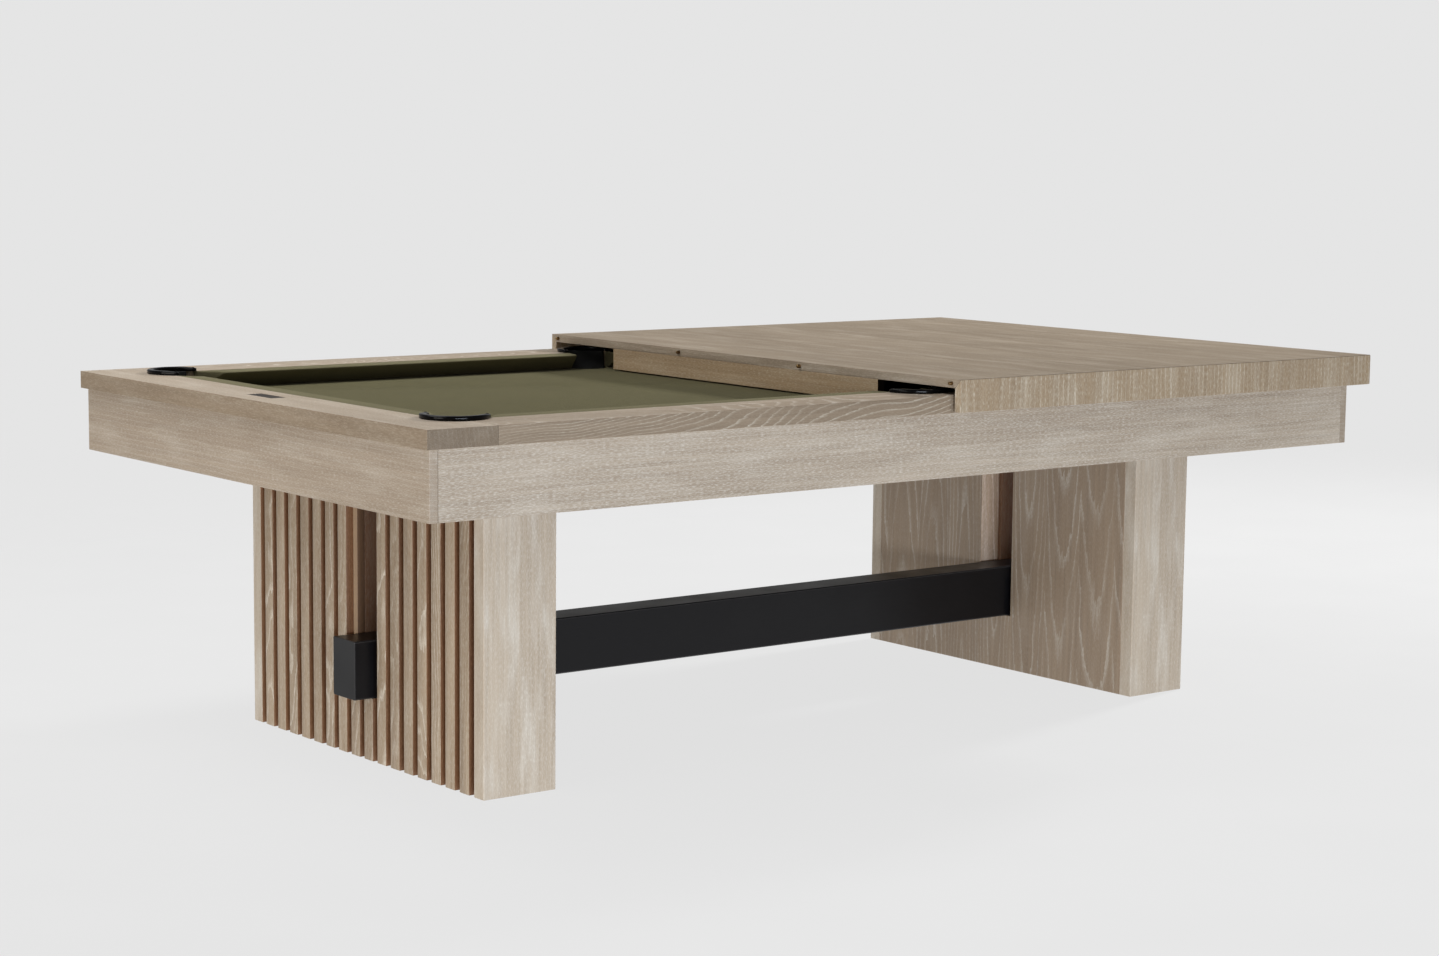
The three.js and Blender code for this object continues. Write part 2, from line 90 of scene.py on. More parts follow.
def place_camera():
    """It looks along (cos yaw cos pitch, sin yaw cos pitch, sin pitch), turned about by roll."""
    data = bpy.data.cameras.new("camera")
    data.lens, data.sensor_width = LENS, SENSOR
    data.clip_start, data.clip_end = 0.1, 200.0
    camera = bpy.data.objects.new("camera", data)
    level = math.cos(PITCH)
    ahead = np.array([math.cos(YAW) * level, math.sin(YAW) * level, math.sin(PITCH)])
    camera.matrix_world = facing(CAMERA_AT, CAMERA_AT + ahead) @ Matrix.Rotation(ROLL, 4, "Z")
    bpy.context.scene.collection.objects.link(camera)
    bpy.context.scene.camera = camera
    return camera


print("camera", place_camera().name)

# %% [markdown]
# ## Short ways to write node trees
# A material is a small drawing of boxes and wires. These helpers add a box, set its inputs in
# order and return the socket that carries its result, so that a finish reads like a formula.

# %% Node helpers
def add(tree, kind, *values, **settings):
    """A new node: settings are its properties, values go to its inputs in order."""
    made = tree.nodes.new("ShaderNode" + kind)
    for key, value in settings.items():
        setattr(made, key, value)
    for socket, value in zip(made.inputs, values):
        join(tree, socket, value)
    return made


def join(tree, socket, value):
    """Wire a socket to the value, or set the value on it; None leaves it as it is."""
    if isinstance(value, bpy.types.NodeSocket):
        tree.links.new(value, socket)
    elif value is not None:
        socket.default_value = value


def feed(tree, node, **values):
    """Join values to a node's inputs by name, with underscores for the spaces."""
    for label, value in values.items():
        join(tree, node.inputs[label.replace("_", " ")], value)


def calc(tree, operation, *values):
    return add(tree, "Math", *values, operation=operation).outputs[0]


def swung(tree, base, value, amount):
    """base + (value - 0.5) * amount, for a noise, whose middle is 0.5."""
    return calc(tree, "MULTIPLY_ADD", calc(tree, "SUBTRACT", value, 0.5), amount, base)


def ramp_to(tree, value, low, high, to_low=0.0, to_high=1.0, smooth=False):
    kind = "SMOOTHSTEP" if smooth else "LINEAR"
    made = add(tree, "MapRange", value, low, high, to_low, to_high, interpolation_type=kind)
    return made.outputs[0]


def blend_colour(tree, share, first, second, how="MIX"):
    """Inputs 0, 6 and 7 of a Mix node are its share and its two colours; output 2 is colour."""
    made = add(tree, "Mix", data_type="RGBA", blend_type=how)
    for index, value in ((0, share), (6, first), (7, second)):
        join(tree, made.inputs[index], value)
    return made.outputs[2]


def noise(tree, vector, scale=1.0, detail=2.0, rough=0.5):
    return add(tree, "TexNoise", vector, None, scale, detail, rough).outputs[0]


def stretched(tree, x, y, z, along, across):
    """Coordinates made long along the grain: x times along, y and z times across."""
    scaled = [calc(tree, "MULTIPLY", v, f) for v, f in ((x, along), (y, across), (z, across))]
    return add(tree, "CombineXYZ", *scaled).outputs[0]


def new_group(name, floats, colours):
    """A node group that takes a Vector, numbers and colours, and gives what a finish needs;
    returns its tree and its inputs."""
    tree = bpy.data.node_groups.new(name, "ShaderNodeTree")

    def socket(label, kind, way="INPUT"):
        return tree.interface.new_socket(label, in_out=way, socket_type="NodeSocket" + kind)

    socket("Vector", "Vector")
    for label, value in floats.items():
        socket(label, "Float").default_value = value
    for label in colours:
        socket(label, "Color")
    for label, kind in (("Color", "Color"), ("Height", "Float"), ("Roughness", "Float")):
        socket(label, kind, "OUTPUT")
    return tree, tree.nodes.new("NodeGroupInput").outputs


def end_group(tree, **results):
    feed(tree, tree.nodes.new("NodeGroupOutput"), **results)
    return tree


def use_group(tree, group, **values):
    made = tree.nodes.new("ShaderNodeGroup")
    made.node_tree = group
    feed(tree, made, **values)
    return made.outputs


def new_material(name):
    """An empty node material with its Principled shader; returns material, tree and shader."""
    material = bpy.data.materials.new(name)
    material.use_nodes = True
    tree = material.node_tree
    return material, tree, tree.nodes["Principled BSDF"]


def bump(tree, shader, height, depth):
    """Relief from a height of 0 to 1, which stands for depth in metres."""
    made = tree.nodes.new("ShaderNodeBump")
    feed(tree, made, Strength=1.0, Distance=depth, Height=height)
    feed(tree, shader, Normal=made.outputs["Normal"])


def object_point(tree):
    return add(tree, "TexCoord").outputs["Object"]


def lumps(tree, scale, detail, rough=0.5):
    """Noise over the object; a pair of scales, along and across, makes it long along X."""
    point = object_point(tree)
    if isinstance(scale, tuple):
        point = stretched(tree, *add(tree, "SeparateXYZ", point).outputs, *scale)
        scale = 1.0
    return noise(tree, point, scale, detail, rough)


def two_tone(name, tones, span, mask, rough, wear, depth, relief, **constants):
    """A finish from three sets of lumps: the colour goes from one tone to the other as mask
    crosses its span, the roughness between its two values with wear, and relief stands up."""
    material, tree, shader = new_material(name)
    share = ramp_to(tree, lumps(tree, *mask), *span)
    worn = ramp_to(tree, lumps(tree, *wear), 0.3, 0.7, *rough)
    feed(tree, shader, Base_Color=blend_colour(tree, share, *tones), Roughness=worn, **constants)
    bump(tree, shader, lumps(tree, *relief), depth)
    return material


print("node helpers ready")

# %% [markdown]
# ## Light
# A wide low light faces the long right side from near the head end, and a second, warmer one
# faces the head end. A third hangs high over the cloth. A small strong light from high past the
# foot end skims the dining top, and glossy surfaces don't mirror it, or its glare would bleach
# the top. The surroundings give more light from above, but glossy surfaces see them darker
# above, so black lacquer stays black.

# %% World, floor and lights
BACKDROP = 0.783
AMBIENT_LOW, AMBIENT_HIGH = 0.13, 0.50
MIRRORED_LOW, MIRRORED_HIGH = 0.30, 0.06
SKY_FROM, SKY_TO = 0.05, 0.75
FLOOR_GLOW = 0.735
FLOOR_PALE, FLOOR_MOTTLE = 0.06, 0.003
FLOOR_RADIUS = 9.0
FADE_FROM, FADE_TO = 2.2, 6.5
WHITE = (1, 1, 1, 1)


def make_world():
    """Strength depends on the height of the direction that a ray leaves in, and on its kind."""
    world = bpy.data.worlds.new("studio")
    bpy.context.scene.world = world
    world.use_nodes = True
    tree = world.node_tree
    path = add(tree, "LightPath").outputs
    height = add(tree, "SeparateXYZ", add(tree, "TexCoord").outputs["Generated"]).outputs[2]
    mirrored = ramp_to(tree, height, SKY_FROM, SKY_TO, MIRRORED_LOW, MIRRORED_HIGH, smooth=True)
    ambient = ramp_to(tree, height, SKY_FROM, SKY_TO, AMBIENT_LOW, AMBIENT_HIGH, smooth=True)
    level = ramp_to(tree, path["Is Glossy Ray"], 0.0, 1.0, ambient, mirrored)
    level = ramp_to(tree, path["Is Camera Ray"], 0.0, 1.0, level, BACKDROP)
    feed(tree, tree.nodes["Background"], Strength=level, Color=WHITE)


def make_floor():
    """A disc just under z = 0 whose cover fades out with distance from the table."""
    rings, turns = 12, 48
    angles = np.linspace(0, 2 * np.pi, turns + 1)
    radius, angle = np.meshgrid(np.linspace(0.0, FLOOR_RADIUS, rings), angles)
    points = np.stack([radius * np.cos(angle), radius * np.sin(angle), 0 * radius - MM], axis=-1)
    index = np.arange(rings * (turns + 1)).reshape(turns + 1, rings)
    quads = np.stack([index[:-1, :-1], index[:-1, 1:], index[1:, 1:], index[1:, :-1]], axis=-1)
    mesh = bpy.data.meshes.new("floor")
    mesh.from_pydata(points.reshape(-1, 3).tolist(), [], quads.reshape(-1, 4).tolist())
    floor = bpy.data.objects.new("floor", mesh)
    bpy.context.scene.collection.objects.link(floor)
    material, tree, shader = new_material("pale_floor")
    point = object_point(tree)
    far = add(tree, "VectorMath", point, operation="LENGTH").outputs["Value"]
    mottle = noise(tree, point, 3.0)
    grey = ramp_to(tree, mottle, 0.3, 0.7, FLOOR_PALE - FLOOR_MOTTLE, FLOOR_PALE + FLOOR_MOTTLE)
    feed(tree, shader, Alpha=ramp_to(tree, far, FADE_FROM, FADE_TO, 1.0, 0.0, smooth=True),
         Base_Color=add(tree, "CombineColor", grey, grey, grey).outputs[0], Roughness=0.9,
         Specular_IOR_Level=0.0, Emission_Color=WHITE, Emission_Strength=FLOOR_GLOW)
    mesh.materials.append(material)


def soft_light(name, place, target, size, power, tint=(1, 1, 1), mirrored=True):
    """A rectangle of light at place that faces target; mirrored ones show in reflections."""
    data = bpy.data.lights.new(name, "AREA")
    data.color = tint
    data.shape, data.size, data.size_y = "RECTANGLE", size[0], size[1]
    data.energy = power
    light = bpy.data.objects.new(name, data)
    light.matrix_world = facing(place, target)
    light.visible_camera = False
    light.visible_glossy = mirrored
    bpy.context.scene.collection.objects.link(light)


make_world()
make_floor()
soft_light("front_light", (-2.2, -6.5, 0.38), (-0.4, 0.0, 0.38), (4.0, 0.7), 240, (0.90, 0.98, 1.10))
soft_light("head_light", (-6.5, -1.0, 0.75), (0.0, 0.0, 0.6), (3.0, 1.4), 104, (1.04, 0.99, 0.92))
soft_light("top_light", (-1.7, 0.9, 3.4), (-0.8, 0.0, 0.7), (2.0, 1.6), 62)
soft_light("side_light", (6.6, 0.9, 3.2), (0.0, 0.0, 0.75), (0.7, 0.7), 660, mirrored=False)
bpy.context.scene.view_settings.view_transform = "Standard"
print("light and backdrop ready")

# %% [markdown]
# ## Limed oak
# The oak is brushed open, filled with white liming wax and wiped back. The wax stays in the
# pores, so they show as fine pale dashes along the grain, and it gathers in the open rings of
# spring growth, which a board cut near the outside of the log shows as stacked arches. The
# group works this out in the solid: rings are shells around a slightly tilted heart, so the
# faces, edges and ends of one board agree with each other.

# %% Group: limed oak grain
LEAF_SHIFT = 0.737  # metres along the log from one veneer leaf to the next
RAGGED_RINGS = 0.5  # how far a ring strays, as a share of the ring
LINE_SHARE = 0.34  # how much of a ring the pale line takes
TONE_CONTRAST, PATCH_CONTRAST = 2.3, 1.6
OAK_INPUTS = {
    "Heart Across": 0.0, "Heart Depth": 0.05, "Leaf": 0.3, "Tilt": 0.03, "Ring": 0.006,
    "Figure": 0.3, "Pores": 0.5, "Patches": 1.0, "Slope": 0.0, "Wander": 0.01, "Wash": 0.2,
    "Shift": 0.0,
}


def oak_grain_group():
    """Ring distance r = sqrt(across^2 + depth^2) from a heart that wanders along the board.
    The part of r / ring after the point is a saw tooth; its steep start is the pale line."""
    tree, source = new_group("limed_oak_grain", OAK_INPUTS, ("Light", "Dark", "Lime"))
    x, y, z = add(tree, "SeparateXYZ", source["Vector"]).outputs
    leaf_number = calc(tree, "ROUND", calc(tree, "DIVIDE", y, source["Leaf"]))
    across = calc(tree, "SUBTRACT", y, calc(tree, "MULTIPLY", leaf_number, source["Leaf"]))
    along = calc(tree, "MULTIPLY_ADD", leaf_number, LEAF_SHIFT, x)

    def grainy(along_scale, across_scale, detail=2.0, rough=0.5, scale=1.0):
        """Noise whose lumps are long along the grain; the scales are lumps in a metre."""
        point = stretched(tree, along, y, z, along_scale, across_scale)
        return noise(tree, point, scale, detail, rough)

    drift = grainy(1.6, 4.0, detail=1.0)
    sway = grainy(2.3, 7.0, scale=1.3)
    ragged = grainy(14.0, 160.0)
    fine = grainy(105.0, 700.0, rough=0.65)
    streak = grainy(3.2, 95.0, detail=4.0, rough=0.65)
    patch = grainy(1.1, 4.5)
    cloud = grainy(4.5, 24.0, detail=3.0, rough=0.6)

    side = calc(tree, "SUBTRACT", across, source["Heart Across"])
    side = calc(tree, "MULTIPLY_ADD", along, source["Slope"], side)
    side = swung(tree, side, drift, source["Wander"])
    deep = calc(tree, "SUBTRACT", z, source["Heart Depth"])
    deep = calc(tree, "MULTIPLY_ADD", along, source["Tilt"], deep)
    deep = swung(tree, deep, sway, source["Wander"])
    squares = calc(tree, "MULTIPLY_ADD", side, side, calc(tree, "MULTIPLY", deep, deep))
    ring = calc(tree, "DIVIDE", calc(tree, "SQRT", squares), source["Ring"])
    tooth = calc(tree, "FRACT", swung(tree, ring, ragged, RAGGED_RINGS))
    line = ramp_to(tree, tooth, 0.0, LINE_SHARE, 1.0, 0.0, smooth=True)
    line = calc(tree, "MULTIPLY", line, ramp_to(tree, fine, 0.3, 0.6, 0.35, 1.0))
    line = calc(tree, "MULTIPLY", line, ramp_to(tree, sway, 0.35, 0.6, 0.35, 1.0))
    figured = calc(tree, "MULTIPLY", line, source["Figure"])
    dashes = ramp_to(tree, fine, 0.47, 0.66)
    lime = calc(tree, "MULTIPLY_ADD", dashes, source["Pores"], figured)
    haze = ramp_to(tree, cloud, 0.42, 0.75, smooth=True)
    mask = ramp_to(tree, calc(tree, "MULTIPLY_ADD", haze, source["Wash"], lime), 0.0, 1.0)

    tone = calc(tree, "ADD", swung(tree, 0.5, streak, TONE_CONTRAST), source["Shift"])
    tone = swung(tree, tone, patch, calc(tree, "MULTIPLY", source["Patches"], PATCH_CONTRAST))
    bare = blend_colour(tree, ramp_to(tree, tone, 0.0, 1.0), source["Dark"], source["Light"])
    height = calc(tree, "MULTIPLY_ADD", streak, 0.4, calc(tree, "MULTIPLY", mask, -0.6))
    return end_group(tree, Color=blend_colour(tree, mask, bare, source["Lime"]), Height=height,
                     Roughness=ramp_to(tree, streak, 0.2, 0.8, 0.48, 0.60))


OAK_GRAIN = oak_grain_group()
print("group", OAK_GRAIN.name)

# %% [markdown]
# ## One finish, many boards
# Every board has its own grain direction and its own place in the log. Axes such as "XZY" mean:
# grain along X, width along Z, thickness along Y. The origin is a point on the board's show
# face, so that the heart is a real depth behind that face. Looks are a set of tones: light and
# dark for the wood, lime for the wax, and tones that the ends and some sides are multiplied
# by: end grain takes a stain more darkly, and a tone above 1 makes a side paler.

# %% Oak finishes
TAN = (0.445, 0.365, 0.280, 1)
BROWN = (0.300, 0.235, 0.172, 1)
LIME = (0.660, 0.610, 0.530, 1)
END_TONE = (0.62, 0.58, 0.52, 1)
END_PALE = (0.95, 0.95, 0.95, 1)
OAK_RELIEF = 0.12 * MM
AXIS = {"X": 0, "Y": 1, "Z": 2}
PLANK_ALONG, PLANK_DEEP = 3.17, 0.61  # metres in the log from one plank number to the next
PLANK_SHIFT = 0.25  # how much darker or lighter a plank can be
FACE_FROM, FACE_TO = 0.60, 0.85  # the part of the normal that makes a face look along an axis


def plank_number(tree):
    return add(tree, "Attribute", attribute_name="plank").outputs["Fac"]


def grain_point(tree, axes, origin, plank):
    """Object coordinates measured from origin and put in the order along, across, depth.
    Boards that share a mesh carry a plank number, which moves each to its own log."""
    centred = add(tree, "VectorMath", object_point(tree), tuple(origin), operation="SUBTRACT")
    parts = add(tree, "SeparateXYZ", centred.outputs[0]).outputs
    along, across, depth = [parts[AXIS[a]] for a in axes]
    if plank:
        number = plank_number(tree)
        along = calc(tree, "MULTIPLY_ADD", number, PLANK_ALONG, along)
        depth = calc(tree, "MULTIPLY_ADD", number, PLANK_DEEP, depth)
    return add(tree, "CombineXYZ", along, across, depth).outputs[0]


def faces_along(tree, axis):
    """1 where the surface looks along an axis, and 0 where it looks across. "Y" takes both
    ways, and "+Y" or "-Y" only the one."""
    normal = add(tree, "TexCoord").outputs["Normal"]
    part = add(tree, "SeparateXYZ", normal).outputs[AXIS[axis[-1]]]
    if len(axis) == 1:
        part = calc(tree, "ABSOLUTE", part)
    elif axis[0] == "-":
        part = calc(tree, "MULTIPLY", part, -1.0)
    return ramp_to(tree, part, FACE_FROM, FACE_TO, smooth=True)


def limed_oak(name, axes, origin, light=TAN, dark=BROWN, lime=LIME, plank=False,
              ends=END_TONE, sides=None, **grain):
    """A finish for one board: the grain group with that board's own place in the log. The
    ends, where the grain is cut across, are multiplied by a tone; sides, a pair of axis and
    tone, does the same to the faces that look along that axis. With plank, each plank draws
    its own strength of figure and its own tone."""
    material, tree, shader = new_material(name)
    point = grain_point(tree, axes, origin, plank)
    if plank:
        lots = add(tree, "TexWhiteNoise", None, plank_number(tree), noise_dimensions="1D").outputs
        green = add(tree, "SeparateColor", lots["Color"]).outputs[1]
        grain["Figure"] = ramp_to(tree, lots["Value"], 0.40, 0.90, 0.10, grain["Figure"])
        grain["Shift"] = ramp_to(tree, green, 0, 1, -PLANK_SHIFT, PLANK_SHIFT)
    out = use_group(tree, OAK_GRAIN, Vector=point, Light=light, Dark=dark, Lime=lime, **grain)
    colour = blend_colour(tree, faces_along(tree, axes[0]), out["Color"], ends, "MULTIPLY")
    if sides is not None:
        axis, tone = sides
        colour = blend_colour(tree, faces_along(tree, axis), colour, tone, "MULTIPLY")
    feed(tree, shader, Base_Color=colour, Roughness=out["Roughness"], Specular_IOR_Level=0.35)
    bump(tree, shader, out["Height"], OAK_RELIEF)
    return material


def grain_settings(across=0.0, depth=0.05, leaf=5.0, tilt=0.03, slope=0.0, ring=0.006, figure=0.3,
                   pores=0.5, patches=1.0, wander=0.01, wash=0.2, shift=0.0):
    """Inputs of the grain group. Lengths are metres: the heart lies across and depth away from
    the origin, and leaf is the width of a veneer leaf, wider than the board for solid wood."""
    return {
        "Heart Across": across, "Heart Depth": depth, "Leaf": leaf, "Tilt": tilt, "Slope": slope,
        "Ring": ring, "Figure": figure, "Pores": pores, "Patches": patches, "Wander": wander,
        "Wash": wash, "Shift": shift,
    }


def plain(**changes):
    """Straight grain, cut far to the side of the heart."""
    straight = dict(across=0.8, depth=0.1, tilt=0.0, ring=0.010, figure=0.22, pores=0.55, wander=0.02)
    return grain_settings(**{**straight, **changes})


print("oak finishes ready")

# %% [markdown]
# ## Eased edges
# A machined board never keeps a knife edge: sandpaper takes it off before the finish goes on.
# The node's own triangles are welded, its flat faces are joined, and a narrow bevel rounds the
# edges. A bevel can take a finish of its own, where handling has worn the colour.

# %% Edge easing on the frame's boards
EASE = 1.2 * MM
WELD = 0.02 * MM
FLAT_ANGLE, EDGE_ANGLE = math.radians(0.5), math.radians(35)


def ease_edges(node, width, edge_material=None):
    """Weld, Decimate (planar) and Bevel on a node, in that order."""
    obj = nodes[node]
    weld = obj.modifiers.new("weld", "WELD")
    weld.merge_threshold = WELD
    flat = obj.modifiers.new("flat_faces", "DECIMATE")
    flat.decimate_type = "DISSOLVE"
    flat.angle_limit = FLAT_ANGLE
    bevel = obj.modifiers.new("eased_edges", "BEVEL")
    bevel.width = width
    bevel.segments = 2
    bevel.limit_method = "ANGLE"
    bevel.angle_limit = EDGE_ANGLE
    if edge_material is not None:
        bevel.material = 1


def dress(node, material, ease=0.0, edge=None):
    """Give a node its finish, and its edges theirs."""
    obj = nodes[node]
    obj.data.materials.clear()
    obj.data.materials.append(material)
    if edge is not None:
        obj.data.materials.append(edge)
    if ease:
        ease_edges(node, ease, edge)


def face_middle(node, axis, sign):
    """Middle of the face of a node's box that looks along sign on axis."""
    low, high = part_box(node)
    middle = list((low + high) / 2)
    middle[AXIS[axis]] = (high if sign > 0 else low)[AXIS[axis]]
    return middle


def dress_board(node, axes, sign, ease=EASE, wood="oak", **looks):
    """Dress a node in a finish of its own. Its show face is the one that looks along sign on
    the axis of its thickness."""
    finish = limed_oak(f"{node}_{wood}", axes, face_middle(node, axes[2], sign), **looks)
    dress(node, finish, ease)


print("edge easing ready")

# %% [markdown]
# ## Aprons and rails
# The aprons are wide veneered boards with straight grain along their length. The rails are
# solid: the long ones show arches on their outer edge, and the end ones, whose grain runs
# across the table, show end grain where they turn the corner.

# %% Aprons
END_APRON = {"light": (0.395, 0.312, 0.232, 1), "dark": (0.300, 0.230, 0.165, 1), "ends": END_PALE}
for end, sx in ENDS.items():
    dress_board(f"{end}_apron", "YZX", sx, **END_APRON, **plain(pores=0.35))
for side, sy in SIDES.items():
    dress_board(f"{side}_apron", "XZY", sy, **plain(pores=0.6))
print("aprons dressed")

# %% Rails
END_RAIL = {
    "light": (0.385, 0.310, 0.232, 1), "dark": (0.290, 0.225, 0.162, 1),
    # The faces that look along X are darker than the top: painted shade.
    "ends": (0.52, 0.485, 0.44, 1), "sides": ("X", (0.74, 0.69, 0.62, 1)),
}
SIDE_RAIL = {
    "light": (0.365, 0.290, 0.215, 1), "dark": (0.265, 0.205, 0.148, 1),
    # The faces that look along Y are darker than the top: painted shade.
    "sides": ("Y", (0.80, 0.77, 0.72, 1)),
}
for end in ENDS:
    dress_board(f"{end}_rail", "YXZ", 1, **END_RAIL, **plain(pores=0.35, patches=0.6))
    for side, sy in SIDES.items():
        arches = grain_settings(across=0.14, depth=-sy * 0.03, tilt=0.0, slope=-0.15, ring=0.0080,
                                figure=0.8, pores=0.15, wander=0.16, wash=0.0)
        dress_board(f"{end}_{side}_rail", "XZY", sy, **SIDE_RAIL, **arches)
print("rails dressed")

# %% [markdown]
# ## Legs
# Each leg is a box: a plank at either side, a plain inner face with veneer leaves that show
# stacked arches, and an outer face of upright slats on a backing. Inside the slot that the
# beam passes through, the lining is reddish and hardly limed. The inner face's sides, the walls
# of the slot, are made paler: painted light. Where a plank faces the first groove, it takes the
# same painted shade as the sides of the slats.

# %% Leg planks, inner faces and linings
LINING_EASE = 0.8 * MM
SLOT_LIME = (0.26, 0.18, 0.13, 1)
# Painted shade: the tone that darkens the sides of the slats and a plank's side at the first groove.
GROOVE_SHADE = (0.55, 0.34, 0.22, 1)
LINING = {"light": (0.25, 0.130, 0.068, 1), "dark": (0.165, 0.080, 0.040, 1), "lime": SLOT_LIME}
PLANK = {"light": (0.50, 0.41, 0.31, 1), "dark": (0.365, 0.290, 0.215, 1)}
INNER_FACE = {
    "light": (0.350, 0.258, 0.175, 1), "dark": (0.262, 0.188, 0.126, 1),
    # The sides along Y, the walls of the slot, are made paler: painted light.
    "sides": ("Y", (1.55, 1.50, 1.50, 1)),
}
for end, sx in ENDS.items():
    leaves = grain_settings(depth=sx * 0.010, leaf=0.118, tilt=0.05 * sx, ring=0.0105, figure=0.50,
                            pores=0.16, wander=0.016, wash=0.08)
    dress_board(f"{end}_leg_inner_panel", "ZYX", -sx, **INNER_FACE, **leaves)
    dress_board(f"{end}_leg_slot_lining", "ZYX", sx, LINING_EASE, **LINING, **plain())
    for side, sy in SIDES.items():
        # The plank's side that faces the first groove is multiplied by the groove's painted shade.
        inward = "-Y" if sy > 0 else "+Y"
        dress_board(f"{end}_leg_{side}_panel", "ZXY", sy, sides=(inward, GROOVE_SHADE), **PLANK,
                    **plain(pores=0.45, wash=0.6, shift=0.15))
print("leg boards dressed")

# %% [markdown]
# ## Surfaces from rings
# New pieces are worked out as a stack of closed rings of points. The skin joins each ring to
# the next with quads and closes the two ends. The sign of the enclosed volume tells whether
# the faces look outwards, so every piece is turned the right way by measurement.

# %% Ring helpers
def rounded_outline(corners, radii, steps=4):
    """A closed outline with each corner replaced by an arc tangent to both sides: the arc's
    centre lies on the bisector, at radius / sin(half angle) from the corner."""
    corners = np.array(corners, float)
    count = len(corners)
    points = []
    for i in range(count):
        here = corners[i]
        into = corners[i - 1] - here
        away = corners[(i + 1) % count] - here
        into /= np.linalg.norm(into)
        away /= np.linalg.norm(away)
        half = math.acos(np.clip(into @ away, -1, 1)) / 2
        middle = (into + away) / np.linalg.norm(into + away)
        centre = here + middle * radii[i] / math.sin(half)
        start = here + into * radii[i] / math.tan(half) - centre
        stop = here + away * radii[i] / math.tan(half) - centre
        share = np.linspace(0, 1, steps)[:, None]
        arc = start * (1 - share) + stop * share
        arc *= radii[i] / np.linalg.norm(arc, axis=1, keepdims=True)
        points.append(centre + arc)
    return np.concatenate(points)


def skin(rings):
    """Vertices and faces of a closed surface over rings of shape (rows, columns, 3)."""
    rows, columns, _ = rings.shape
    index = np.arange(rows * columns).reshape(rows, columns)
    beside = np.roll(index, -1, axis=1)
    quads = np.stack([index[:-1], beside[:-1], beside[1:], index[1:]], axis=-1).reshape(-1, 4)
    flat = rings.reshape(-1, 3)
    a, b, c, d = (flat[quads[:, i]] for i in range(4))
    volume = np.einsum("ij,ij->i", a, np.cross(b, c)).sum() + np.einsum("ij,ij->i", a, np.cross(c, d)).sum()
    for ring, turn in ((rings[0], -1), (rings[-1], 1)):
        spokes = np.cross(ring, np.roll(ring, -1, axis=0))
        volume += turn * (spokes @ ring.mean(axis=0)).sum()
    faces = quads.tolist() + [index[0][::-1].tolist(), index[-1].tolist()]
    if volume < 0:
        faces = [face[::-1] for face in faces]
    return flat, faces


def make_piece(name, parts, material, body, replaced=(), planks=None, sharp=38):
    """One mesh from several skins. Planks gives each skin a number in the attribute plank."""
    points, faces, start = [], [], 0
    for flat, its_faces in parts:
        points.append(flat)
        faces += [[start + v for v in face] for face in its_faces]
        start += len(flat)
    mesh = bpy.data.meshes.new(name)
    mesh.from_pydata(np.concatenate(points).tolist(), [], faces)
    if planks is not None:
        numbers = np.repeat(planks, [len(flat) for flat, _ in parts])
        mesh.attributes.new("plank", "FLOAT", "POINT").data.foreach_set("value", numbers)
    mesh.shade_smooth()
    mesh.set_sharp_from_angle(angle=math.radians(sharp))
    mesh.materials.append(material)
    piece = bpy.data.objects.new(name, mesh)
    bpy.context.scene.collection.objects.link(piece)
    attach(piece, body)
    if replaced:
        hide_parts(*replaced)
    return piece


def full_turn(count):
    return np.linspace(0, 2 * np.pi, count + 1)[:-1]


def circle(centre, radius, turns, first, second):
    """Points at centre + radius * (cos(turn) * first + sin(turn) * second)."""
    return centre + radius * (np.cos(turns)[:, None] * first + np.sin(turns)[:, None] * second)


def eased_board(low, high, ease):
    """A board from low to high corner: a rounded plan outline carried up, drawn in at both
    ends by the same ease."""
    low, high = np.array(low, float), np.array(high, float)
    size = high - low
    plan = rounded_outline([[0, 0], [size[0], 0], [size[0], size[1]], [0, size[1]]], [ease] * 4, 3)
    middle = size[:2] / 2
    rows = []
    for rise, inset in ((0, ease), (0.3 * ease, 0.3 * ease), (ease, 0), (size[2] - ease, 0),
                        (size[2] - 0.3 * ease, 0.3 * ease), (size[2], ease)):
        drawn = middle + (plan - middle) * (1 - inset / middle)
        rows.append(np.column_stack([drawn + low[:2], np.full(len(plan), low[2] + rise)]))
    return skin(np.array(rows))


X_DIR, Y_DIR, Z_DIR = np.eye(3)
print("ring helpers ready")

# %% [markdown]
# ## Slats and backing
# Eighteen upright slats cross the outer face of each leg, counting the edges of the two side
# planks. Those that meet the beam stop below it. Each slat is its own stick of oak, so each
# gets its own plank number, and some show strong arches while others are straight. The sides
# of the slats are darker and redder: painted shade of the narrow grooves. The sides of the
# backing are darker and redder too.

# %% Slatted panels
SLATS = 18
SLAT_W = 36 * MM
SLAT_DEPTH = 18 * MM
SLAT_EASE = 1.1 * MM
SLAT_GAP = 0.1 * MM
BACKING_EASE = 0.3 * MM
SLOT_HALF = 46.5 * MM
FOOT_PLANKS = 31.0  # the plank number that the foot leg's slats start from
SLAT = {"light": (0.415, 0.312, 0.212, 1), "dark": (0.270, 0.193, 0.125, 1), "lime": (0.64, 0.57, 0.47, 1)}
BACKING = {
    "light": (0.42, 0.29, 0.18, 1), "dark": (0.30, 0.20, 0.12, 1), "lime": SLOT_LIME,
    "sides": ("Y", (0.42, 0.33, 0.27, 1)),
}
slat_grain = grain_settings(depth=0.016, tilt=0.022, slope=0.02, ring=0.0045, figure=1.25,
                            pores=0.35, wander=0.035, wash=0.12)
# The slats' sides, deep in the narrow grooves, are multiplied by painted shade.
slat_oak = limed_oak("slat_oak", "ZYX", (0, 0, 0), plank=True, sides=("Y", GROOVE_SHADE), **SLAT, **slat_grain)
backing_oak = limed_oak("backing_oak", "ZYX", (0, 0, 0), **BACKING, **plain())


